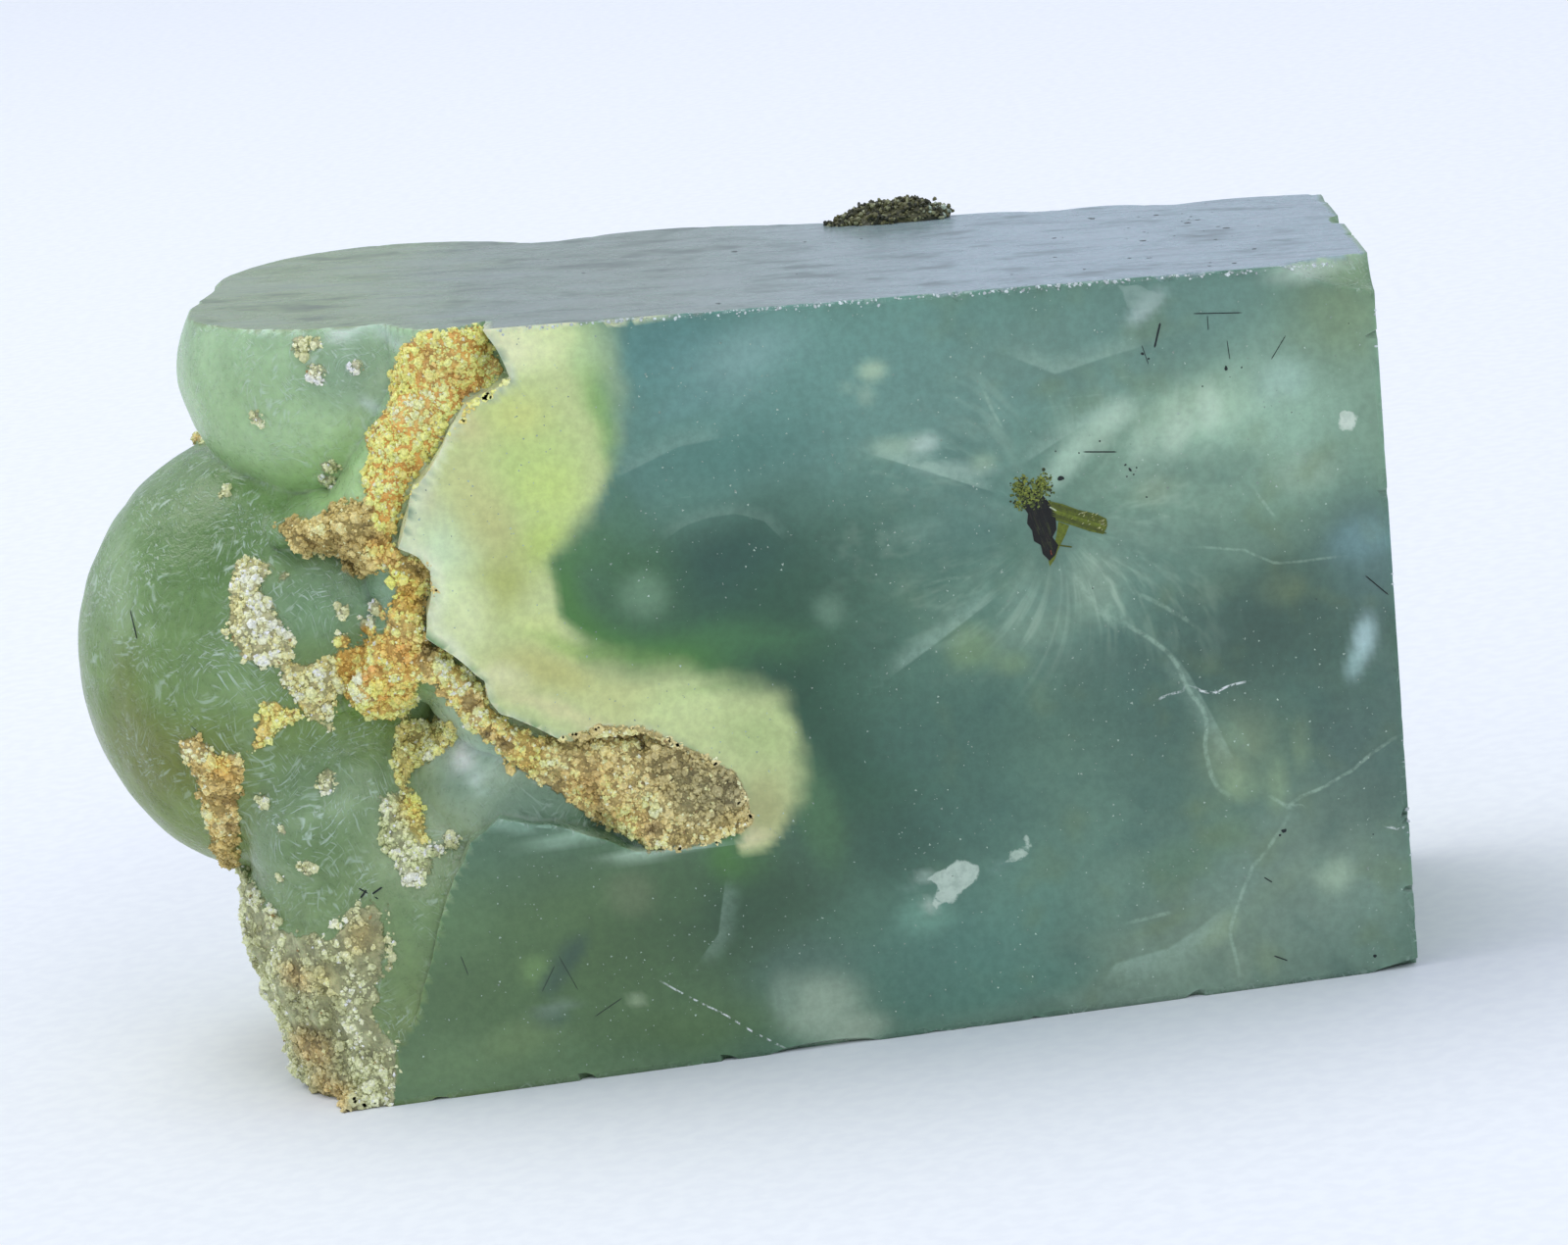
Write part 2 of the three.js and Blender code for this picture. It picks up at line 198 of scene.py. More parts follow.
def camera_axes():
    e, r = math.radians(ELEVATION), math.radians(ROLL)
    back = np.array([0.0, -math.cos(e), math.sin(e)])
    right = np.array([1.0, 0.0, 0.0])
    up = np.cross(right, -back)
    turned_right = math.cos(r) * right - math.sin(r) * up
    turned_up = math.sin(r) * right + math.cos(r) * up
    return turned_right, turned_up, back


CAM_RIGHT, CAM_UP, CAM_BACK = camera_axes()
CAM_AT = TARGET + CAM_BACK * DISTANCE


def view_rays(points):
    """The camera's rays through picture points (px, py)."""
    px = np.atleast_2d(np.array(points, float))
    ray = -CAM_BACK + np.outer((px[:, 0] - PICTURE_W / 2) / FOCAL_PX, CAM_RIGHT)
    return ray - np.outer((px[:, 1] - PICTURE_H / 2) / FOCAL_PX, CAM_UP)


def on_front(points, depth=0.0):
    """Picture points (px, py) as (x, z) in the plane y = depth of the saw frame."""
    ray = view_rays(points)
    hit = CAM_AT + ray * ((depth - CAM_AT[1]) / ray[:, 1])[:, None]
    return hit[:, [0, 2]]


PX_PER_MM = FOCAL_PX / (DISTANCE * math.cos(math.radians(ELEVATION)))


# ---- numbers and noise ----------------------------------------------------------------------
def coordinates(p):
    """Points as three lists of plain numbers: x, y and z."""
    return np.ascontiguousarray(p.T, float)


def linear(rgb):
    """An sRGB colour, 0 to 255, as linear numbers."""
    c = np.array(rgb, float) / 255
    return np.where(c <= 0.04045, c / 12.92, ((c + 0.055) / 1.055) ** 2.4)


def smooth(low, high, x):
    """A soft step from 0 at low to 1 at high; it falls where low is above high."""
    t = np.clip((x - low) / (high - low), 0, 1)
    return t * t * (3 - 2 * t)


def top_at(x):
    return TOP_AT_RIGHT + TOP_FALL * x


def right_at(z):
    return RIGHT_AT_BASE + RIGHT_LEAN * z


def left_of_pocket(x):
    """From 0 over the pocket of crust in the front cut to 1 left of it."""
    return smooth(-47, -48.5, x)


def along(run, step):
    """Points along a run, about one every step, with every value interpolated."""
    out = []
    for a, b in zip(run, run[1:]):
        a, b = np.array(a, float), np.array(b, float)
        n = max(1, round(float(np.hypot(*(b - a)[:2])) / step))
        out += [a + (b - a) * k / n for k in range(n)]
    return out + [np.array(run[-1], float)]


def lattice_noise(p, pitch, seed):
    """Smooth gradient noise, about -1 to 1, with one feature per pitch."""
    q = p.astype(F32) / F32(pitch) + F32(seed * 17.31)
    base = np.floor(q).astype(np.int64)
    f = q - base
    w = f * f * f * (f * (f * 6 - 15) + 10)
    out = np.zeros(p.shape[:-1], F32)
    for dx in (0, 1):
        for dy in (0, 1):
            for dz in (0, 1):
                c = base + np.array([dx, dy, dz])
                h = (c[..., 0] * 73856093) ^ (c[..., 1] * 19349663) ^ (c[..., 2] * 83492791)
                h = h ^ (seed * 2654435)
                h = (h ^ (h >> 13)) * 1274126177 & 0xFFFFFFFF
                h ^= h >> 16
                g = np.stack([h & 1023, (h >> 10) & 1023, (h >> 20) & 1023], -1).astype(F32) / 511.5 - 1
                dot = (g * (f - np.array([dx, dy, dz], F32))).sum(-1)
                for k, d in enumerate((dx, dy, dz)):
                    dot = dot * (w[..., k] if d else 1 - w[..., k])
                out += dot
    return out * 1.5


# The layers of every noise: strength, pitch in mm and seed.
NOISE = {
    # The stone's form.
    "skin_lumps": [(0.9, 1.7, 1), (0.4, 1.0, 2)],
    "swell": [(0.28, 5.5, 3), (0.09, 2.1, 6)],
    "back_crust": [(1, 6.5, 4), (0.5, 2.4, 5)],
    "nibble": [(0.14, 1.6, 7)],
    "pocket": [(0.5, 1.4, 53), (0.3, 0.8, 54)],
    # Its colours.
    "warp_x": [(0.8, 5.0, 21), (0.3, 1.7, 23)],
    "warp_z": [(0.8, 5.0, 22), (0.3, 1.7, 24)],
    "drift_x": [(1.5, 3.0, 45)],
    "drift_y": [(1.5, 3.0, 46)],
    "drift_z": [(1.5, 3.0, 47)],
    "haze": [(0.55, 4.5, 25), (0.3, 2.1, 26), (0.2, 1.0, 27)],
    "hue": [(1, 3.6, 51), (0.6, 1.4, 52)],
    "rays": [(1, 0.3, 61), (0.5, 0.12, 62)],
    "rim_white": [(0.2, 2.1, 28)],
    "streak": [(1, 0.8, 29)],
    "kidney_edge": [(0.3, 1.6, 30)],
    "silk_across": [(1, 1.6, 37)],
    "silk_upright": [(0.6, 1.3, 38)],
    "mottle": [(1, 9, 31), (0.5, 3.5, 32)],
    "top_end": [(3, 5, 33)],
    "silky": [(1, 3.3, 35)],
    "specked": [(1, 6, 36)],
    # The crust and the tuft.
    "crust_x": [(0.5, 1.5, 41)],
    "crust_z": [(0.5, 1.5, 42)],
    "crust_shade": [(0.4, 1.7, 1), (0.35, 0.8, 43), (0.35, 3.2, 50)],
    "crust_edge": [(0.9, 1.1, 44)],
    "bare_skin": [(1, 1.9, 55), (0.5, 0.9, 56)],
    "tuft_form": [(0.2, 1.6, 81), (0.14, 0.6, 82)],
    "tuft_shade": [(1, 0.9, 83), (0.5, 0.45, 84)],
}


def noise(name, p, start=0):
    """A noise's layers at these points, added to start."""
    for strength, pitch, seed in NOISE[name]:
        start = start + strength * lattice_noise(p, pitch, seed)
    return start


# ---- distances ------------------------------------------------------------------------------
def ellipsoid(p, at, r, yaw=0, pitch=0):
    """Rough signed distance to an ellipsoid: exact at its skin, and close to it."""
    q = p - np.array(at, F32)
    if yaw:
        c, s = math.cos(math.radians(yaw)), math.sin(math.radians(yaw))
        q = np.stack([q[..., 0] * c + q[..., 1] * s, q[..., 1] * c - q[..., 0] * s, q[..., 2]], -1)
    if pitch:
        c, s = math.cos(pitch), math.sin(pitch)
        q = np.stack([q[..., 0] * c - q[..., 2] * s, q[..., 1], q[..., 0] * s + q[..., 2] * c], -1)
    r = np.array(r, F32)
    k0 = np.sqrt(((q / r) ** 2).sum(-1))
    k1 = np.sqrt(((q / r**2) ** 2).sum(-1))
    return k0 * (k0 - 1) / np.maximum(k1, 1e-6)


def blend_min(a, b, k):
    """The smaller of two distances, rounded over where they are within k of each other."""
    h = np.maximum(k - np.abs(a - b), 0) / k
    return np.minimum(a, b) - h * h * k / 4


def polygon_distance(points, x, z):
    """Signed distance in the x, z plane to a closed outline, negative inside."""
    pts = np.array(points, float)
    best = np.full(x.shape, 1e9)
    inside = np.zeros(x.shape, bool)
    for a, b in zip(pts, np.roll(pts, -1, 0)):
        ex, ez = b - a
        wx, wz = x - a[0], z - a[1]
        t = np.clip((wx * ex + wz * ez) / max(ex * ex + ez * ez, 1e-9), 0, 1)
        best = np.minimum(best, (wx - ex * t) ** 2 + (wz - ez * t) ** 2)
        if ez != 0:
            inside ^= ((a[1] > z) != (b[1] > z)) & (x < a[0] + (z - a[1]) * ex / ez)
    d = np.sqrt(best)
    return np.where(inside, -d, d).astype(F32)


def line_distance(points, x, z):
    """Signed distance to an open polyline, positive on its left; and the place along it, 0 to 1."""
    pts = np.array(points, float)
    best = np.full(x.shape, 1e9)
    sign = np.ones(x.shape)
    place = np.zeros(x.shape)
    lengths = np.hypot(*(pts[1:] - pts[:-1]).T)
    before = np.concatenate([[0], np.cumsum(lengths)])
    for i, (a, b) in enumerate(zip(pts, pts[1:])):
        ex, ez = b - a
        wx, wz = x - a[0], z - a[1]
        t = np.clip((wx * ex + wz * ez) / max(ex * ex + ez * ez, 1e-9), 0, 1)
        d = (wx - ex * t) ** 2 + (wz - ez * t) ** 2
        near = d < best
        best = np.where(near, d, best)
        sign = np.where(near, np.sign(ex * wz - ez * wx), sign)
        place = np.where(near, (before[i] + t * lengths[i]) / before[-1], place)
    return np.sqrt(best) * np.where(sign == 0, 1, sign), place


class Raster:
    """A field over x and z, kept on a fine grid and read back smoothly."""

    STEP = 0.2

    def __init__(self, make, x=(-82, 22), z=(-5, 53)):
        self.x0, self.z0 = x[0], z[0]
        gx, gz = np.meshgrid(np.arange(*x, self.STEP), np.arange(*z, self.STEP), indexing="ij")
        self.field = make(gx, gz).astype(F32)

    def at(self, p):
        u = np.clip((p[..., 0] - self.x0) / self.STEP, 0, self.field.shape[0] - 1.001)
        v = np.clip((p[..., 2] - self.z0) / self.STEP, 0, self.field.shape[1] - 1.001)
        i, j = u.astype(int), v.astype(int)
        a, b, f = (u - i).astype(F32), (v - j).astype(F32), self.field
        low = f[i, j] * (1 - a) + f[i + 1, j] * a
        high = f[i, j + 1] * (1 - a) + f[i + 1, j + 1] * a
        return low * (1 - b) + high * b


# ---- the stone's form -----------------------------------------------------------------------
BED = [
    ((x, crest + BED_DEPTH, z), (half * 1.3, BED_DEPTH, half * 1.3))
    for run in CREVICES
    for x, z, half, crest in along(run, BED_STEP)
]
RIM = [(-50.4, 52)] + [tuple(p) for p in on_front(RIM_POINTS)]
LIP = [tuple(p) for p in on_front(LIP_POINTS)] + [(-68, -4)]
core_field = Raster(lambda x, z: polygon_distance(RIM + LIP + [(20, -4), (20, 52)], x, z))


def bare_stone(p):
    """The lobes, the crust's beds and the core within the saw cuts, before any crust lies on them."""
    d = np.maximum(core_field.at(p), p[..., 1] - CORE_BACK)
    for at, r, yaw in END_LOBES:
        d = np.minimum(d, ellipsoid(p, at, r, yaw))
    for at, r in BED:
        d = np.minimum(d, ellipsoid(p, at, r))
    d = np.maximum(d, p[..., 2] - top_at(p[..., 0]))
    return np.maximum(d, -np.minimum(p[..., 1], p[..., 2]))


RAY_LEAD = 30  # how far before the camera's target the rays start, in mm
RAY_STEPS, RAY_STRIDE = 90, 0.7  # steps along a ray, and the share of the distance each one takes


def first_hit(form, points, beside=6.0):
    """Where the rays through picture points first meet a form, or the plane y = beside past its edge."""
    ray = view_rays(points)
    ray /= np.linalg.norm(ray, axis=1, keepdims=True)
    at = CAM_AT + ray * (DISTANCE - RAY_LEAD)
    for _ in range(RAY_STEPS):
        at = at + ray * np.clip(form(at.astype(F32)), -1, 3)[:, None] * RAY_STRIDE
    missed = at[:, 1] > CORE_BACK
    at[missed] = (CAM_AT + ray * ((beside - CAM_AT[1]) / ray[:, 1])[:, None])[missed]
    return at


# The crust's outlines and specks on the stone, in x and z.
PATCHES = {name: first_hit(bare_stone, points)[:, [0, 2]] for name, points in CRUST_POINTS.items()}
SPECKS = [
    (at[0], at[2], r / PX_PER_MM)
    for at, (_, _, r) in zip(first_hit(bare_stone, [s[:2] for s in SPECK_POINTS]), SPECK_POINTS)
]


def crust_outline(x, z):
    """Signed distance in the x, z plane to the crust's patches and specks, negative inside."""
    d = np.full(x.shape, 99.0)
    for outline in PATCHES.values():
        d = np.minimum(d, polygon_distance(outline, x, z))
    for sx, sz, r in SPECKS:
        d = np.minimum(d, np.hypot(x - sx, z - sz) - r)
    return d


crust_field = Raster(crust_outline)


# The saw cuts' edges: start, end, how many chips, and the smallest and largest chip in mm.
CHIPPED_EDGES = [
    ((-48, 0, top_at(-48)), (-3, 0, top_at(-3)), 30, (0.1, 0.34)),
    ((-62, 0, 0), (-1, 0, 0), 22, (0.1, 0.42)),
    ((right_at(2), 0, 2), (right_at(40), 0, 40), 20, (0.1, 0.34)),
    ((right_at(44), 3, top_at(2)), (right_at(44), 29, top_at(2)), 7, (0.25, 0.9)),
    ((right_at(0), 4, 0), (right_at(0), 27, 0), 8, (0.2, 0.8)),
]


def edge_chips():
    """Small breaks along the saw cuts' edges: centre, radii, pitch."""
    random = np.random.default_rng(37)
    found = []
    for start, end, count, (low, high) in CHIPPED_EDGES:
        for _ in range(count):
            at = np.array(start) + (np.array(end) - np.array(start)) * random.random()
            size = low + (high - low) * random.random() ** 2.5
            found.append((
                at + random.uniform(-0.1, 0.1, 3),
                (size * random.uniform(1, 2.6), size * 1.2, size * 0.8),
                random.uniform(-0.5, 0.5),
            ))
    return found


CHIPS = edge_chips() + [(np.array(at), r, pitch) for at, r, pitch in BREAKS]


def nearest_lobes(p):
    """Distances to the nearest and second nearest lobe, for the crevices between them."""
    first = np.full(p.shape[:-1], 99, F32)
    second = first.copy()
    for at, r, yaw in END_LOBES + BACK_LOBES:
        d = ellipsoid(p, at, r, yaw)
        second = np.minimum(second, np.maximum(first, d))
        first = np.minimum(first, d)
    return first, second


def back_crust(p, gap):
    """How much crust lies in the crevices of the back, 0 to 1."""
    return smooth(0.9, 0.1, gap - 1.1 * noise("back_crust", p)) * smooth(BEHIND - 3, BEHIND + 1, p[..., 1])


LOBE_BLEND = 0.45  # how softly the lobes run into one another, in mm


def natural(p):
    """The lobes with the crust and its beds on them, before any saw cut."""
    form = np.full(p.shape[:-1], 99, F32)
    second = form.copy()
    for at, r, yaw in END_LOBES + BACK_LOBES:
        d = ellipsoid(p, at, r, yaw)
        second = np.minimum(second, np.maximum(form, d))
        form = blend_min(form, d, F32(LOBE_BLEND))
    gap = second - form
    for at, r in BED:
        form = np.minimum(form, ellipsoid(p, at, r))
    lumps = noise("skin_lumps", p, 0.6)
    crust = smooth(0.15, -0.5, crust_field.at(p)) * smooth(BEHIND + 2, BEHIND - 4, p[..., 1])
    crust = np.maximum(crust, back_crust(p, gap))
    return form - crust * np.clip(0.45 * lumps, -0.2, 0.9) - noise("swell", p)


def stone(p):
    """The whole stone: lobes, crust and core, cut by the saw and chipped."""
    core = np.maximum(core_field.at(p), p[..., 1] - CORE_BACK)
    d = np.minimum(natural(p), core - noise("nibble", p))
    recess = POCKET_DEPTH * noise("pocket", p, 0.55) * smooth(0.1, -0.6, crust_field.at(p))
    d = np.maximum(d, np.maximum(recess, 0) - p[..., 1])
    d = np.maximum(d, (p[..., 2] - top_at(p[..., 0])) * F32(TOP_COSINE))
    d = np.maximum(d, -p[..., 2])
    d = np.maximum(d, (p[..., 0] - right_at(p[..., 2])) * F32(RIGHT_COSINE))
    for at, r, pitch in CHIPS:
        reach = max(r) + 1.5
        near = (np.abs(p - at.astype(F32)) < reach).all(-1)
        if near.any():
            d[near] = np.maximum(d[near], -ellipsoid(p[near], at, r, 0, pitch))
    return d.astype(F32)


def on_stone(points):
    """Where the rays through picture points first meet the stone."""
    return first_hit(stone, points)


def growing(start, stop, fine, fine_until, coarse, rate):
    """Grid lines: fine up to one place, then each step a little wider, up to coarse."""
    lines, step = [start], fine
    while lines[-1] < stop:
        if lines[-1] > fine_until:
            step = min(coarse, step * rate)
        lines.append(lines[-1] + step)
    return np.array(lines, F32)


def gradient(f, p, h=0.02):
    """The direction in which f grows fastest at each point, as a unit vector."""
    g = np.empty(p.shape, F32)
    for k in range(3):
        e = np.zeros(3, F32)
        e[k] = h
        g[..., k] = f(p + e) - f(p - e)
    return g / np.maximum(np.linalg.norm(g, axis=-1, keepdims=True), 1e-9)


CROSSING_STEPS = 3  # steps of the search for where the surface crosses a grid edge
CELL_PULL = 0.03  # how strongly a cell's point keeps to the middle of its crossings


def dual_contour(f, lines):
    """A quad mesh of f = 0 with crisp edges, over a grid given by its three lists of lines."""
    shape = [len(a) for a in lines]
    values = np.empty(shape, F32)
    gy, gz = np.meshgrid(lines[1], lines[2], indexing="ij")
    for i, x in enumerate(lines[0]):
        values[i] = f(np.stack([np.full_like(gy, x), gy, gz], -1))
    inside = values < 0
    cells = [n - 1 for n in shape]
    faces, where, normals, owners = [], [], [], []
    for axis in range(3):
        low, high = [slice(None)] * 3, [slice(None)] * 3
        low[axis], high[axis] = slice(0, -1), slice(1, None)
        crossing = np.argwhere(inside[tuple(low)] != inside[tuple(high)])
        step = np.zeros(3, int)
        step[axis] = 1
        a, b = values[tuple(crossing.T)], values[tuple((crossing + step).T)]
        p = np.stack([lines[k][crossing[:, k]] for k in range(3)], -1)
        q = p.copy()
        q[:, axis] = lines[axis][crossing[:, axis] + 1]
        for _ in range(CROSSING_STEPS):
            t = np.clip(a / np.where(a == b, 1, a - b), 0, 1)
            m = p + (q - p) * t[:, None]
            v = f(m)
            same = (v < 0) == (a < 0)
            p, a = np.where(same[:, None], m, p), np.where(same, v, a)
            q, b = np.where(same[:, None], q, m), np.where(same, b, v)
        g = gradient(f, m)
        u, v = (axis + 1) % 3, (axis + 2) % 3
        ring = []
        for du, dv in ((0, 0), (1, 0), (1, 1), (0, 1)):
            c = crossing.copy()
            c[:, u] -= du
            c[:, v] -= dv
            ring.append(np.ravel_multi_index([c[:, k] for k in range(3)], cells))
        quad = np.stack(ring, -1)
        flip = inside[tuple(crossing.T)][:, None]
        faces.append(np.where(flip, quad, quad[:, ::-1]))
        owners += ring
        where += [m] * 4
        normals += [g] * 4
    owners = np.concatenate(owners)
    where = np.concatenate(where).astype(float)
    normals = np.concatenate(normals).astype(float)
    ids, owner = np.unique(owners, return_inverse=True)
    n = len(ids)
    count = np.bincount(owner, minlength=n)
    mean = np.stack([np.bincount(owner, where[:, k], n) / count for k in range(3)], -1)
    offset = ((where - mean[owner]) * normals).sum(-1)
    left, right = np.empty((n, 3, 3)), np.empty((n, 3))
    for i in range(3):
        right[:, i] = np.bincount(owner, normals[:, i] * offset, n)
        for j in range(3):
            left[:, i, j] = np.bincount(owner, normals[:, i] * normals[:, j], n)
    left += np.eye(3) * CELL_PULL
    place = mean + np.linalg.solve(left, right[..., None])[..., 0]
    cell = np.stack(np.unravel_index(ids, cells), -1)
    floor = np.stack([lines[k][cell[:, k]] for k in range(3)], -1)
    ceiling = np.stack([lines[k][cell[:, k] + 1] for k in range(3)], -1)
    place = np.clip(place, floor, ceiling)
    lookup = np.full(cells[0] * cells[1] * cells[2], -1, np.int64)
    lookup[ids] = np.arange(n)
    return place.astype(F32), lookup[np.concatenate(faces)]


# ---- objects --------------------------------------------------------------------------------
def to_frame(p):
    """Saw-frame millimetres to the shared frame's metres."""
    return (np.asarray(p, float) + SHIFT) * MM


def mesh_piece(
    name, points, faces, materials, flat=True, worn=None, colors=None, fields=None, vectors=None
):
    """A mesh object from saw-frame points and faces of one size, riding on the block's body.

    flat says which faces aren't shaded smooth, and worn is each face's place in materials.
    """
    mesh = bpy.data.meshes.new(name)
    size = faces.shape[1]
    mesh.vertices.add(len(points))
    mesh.vertices.foreach_set("co", to_frame(points).astype(F32).ravel())
    mesh.loops.add(len(faces) * size)
    mesh.loops.foreach_set("vertex_index", faces.astype(np.int32).ravel())
    mesh.polygons.add(len(faces))
    mesh.polygons.foreach_set("loop_start", np.arange(0, len(faces) * size, size, dtype=np.int32))
    mesh.polygons.foreach_set("loop_total", np.full(len(faces), size, np.int32))
    mesh.polygons.foreach_set("use_smooth", ~np.broadcast_to(flat, len(faces)))
    for material in materials:
        mesh.materials.append(material)
    if worn is not None:
        mesh.polygons.foreach_set("material_index", worn.astype(np.int32))
    mesh.update(calc_edges=True)
    mesh.validate()
    for key, values in (colors or {}).items():
        layer = mesh.color_attributes.new(key, "FLOAT_COLOR", "POINT")
        rgba = np.ones((len(points), 4), F32)
        rgba[:, :3] = values
        layer.data.foreach_set("color", rgba.ravel())
    for key, values in (fields or {}).items():
        layer = mesh.attributes.new(key, "FLOAT", "POINT")
        layer.data.foreach_set("value", np.asarray(values, F32))
    for key, values in (vectors or {}).items():
        layer = mesh.attributes.new(key, "FLOAT_VECTOR", "POINT")
        layer.data.foreach_set("vector", np.asarray(values, F32).ravel())
    piece = bpy.data.objects.new(name, mesh)
    scene.collection.objects.link(piece)
    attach(piece, "root")
    return piece

# ---- the stone's colours --------------------------------------------------------------------
GLOSS_VEIL, LIGHT_LEVEL = 0.02, np.array((0.76, 0.83, 0.92))


def body(rgb):
    """The colour of the stone's own body, under the pale veil that its gloss adds."""
    return np.clip((linear(rgb) - GLOSS_VEIL) / LIGHT_LEVEL, 0.004, 0.9)


# Clouds in the front cut: picture centre, half widths, tilt in degrees, colour, strength.
CLOUDS = [
    (480, 1010, 230, 130, 0, (92, 120, 88), 1), (640, 960, 150, 100, 0, (86, 114, 80), 0.95),
    (470, 1090, 150, 36, 8, (108, 136, 102), 0.8), (700, 1045, 110, 40, 8, (90, 118, 84), 0.9),
    (830, 400, 250, 120, 0, (106, 150, 144), 0.95), (690, 350, 90, 56, 0, (92, 137, 136), 0.9),
    (762, 365, 62, 34, 0, (128, 166, 164), 0.8), (755, 455, 120, 34, 0, (86, 128, 121), 0.85),
    (960, 410, 130, 90, 0, (108, 146, 139), 0.8), (760, 606, 190, 88, 0, (64, 98, 82), 1),
    (840, 700, 110, 100, 0, (44, 77, 58), 1), (746, 566, 76, 40, 0, (58, 91, 83), 0.8),
    (900, 775, 110, 90, 0, (54, 89, 70), 0.95), (648, 590, 50, 60, 0, (72, 110, 78), 0.8),
    (735, 656, 100, 24, 12, (74, 118, 80), 0.85), (1000, 650, 150, 100, 0, (90, 127, 113), 0.9),
    (985, 520, 90, 60, 0, (96, 134, 126), 0.8), (970, 750, 90, 60, 0, (78, 113, 103), 0.85),
    (1010, 950, 160, 80, 0, (92, 134, 125), 0.9), (1110, 840, 150, 90, 0, (103, 139, 125), 0.9),
    (765, 925, 110, 60, 0, (64, 91, 73), 0.9), (1325, 910, 150, 110, 0, (118, 146, 136), 0.95),
    (1200, 975, 120, 60, 0, (125, 149, 134), 0.8), (1285, 640, 150, 86, 0, (72, 98, 89), 1),
    (1395, 760, 70, 90, 0, (86, 113, 107), 0.9), (1200, 760, 80, 80, 0, (82, 113, 104), 0.8),
    (1285, 725, 40, 30, 0, (84, 114, 104), 0.8), (920, 860, 60, 40, 0, (64, 96, 84), 0.8),
    (1290, 430, 170, 96, 0, (144, 180, 162), 1), (1330, 350, 80, 40, 0, (130, 162, 148), 0.7),
    (1180, 330, 190, 60, 0, (106, 142, 135), 0.85), (1370, 310, 60, 60, 0, (122, 148, 118), 0.8),
    (1400, 560, 50, 60, 0, (98, 128, 128), 0.8), (1120, 600, 110, 70, 0, (104, 138, 128), 0.8),
    (1265, 765, 40, 44, 0, (130, 152, 124), 0.75), (1345, 870, 60, 60, 0, (128, 152, 136), 0.5),
    (1215, 415, 60, 26, 0, (160, 192, 170), 0.85), (1370, 820, 70, 30, -20, (98, 124, 114), 0.6),
    (1160, 690, 60, 50, 0, (80, 112, 104), 0.7), (1000, 830, 70, 50, 0, (76, 112, 104), 0.6),
    (560, 1110, 150, 16, 8, (116, 142, 108), 0.6), (1200, 1010, 260, 14, 8, (124, 150, 138), 0.5),
]
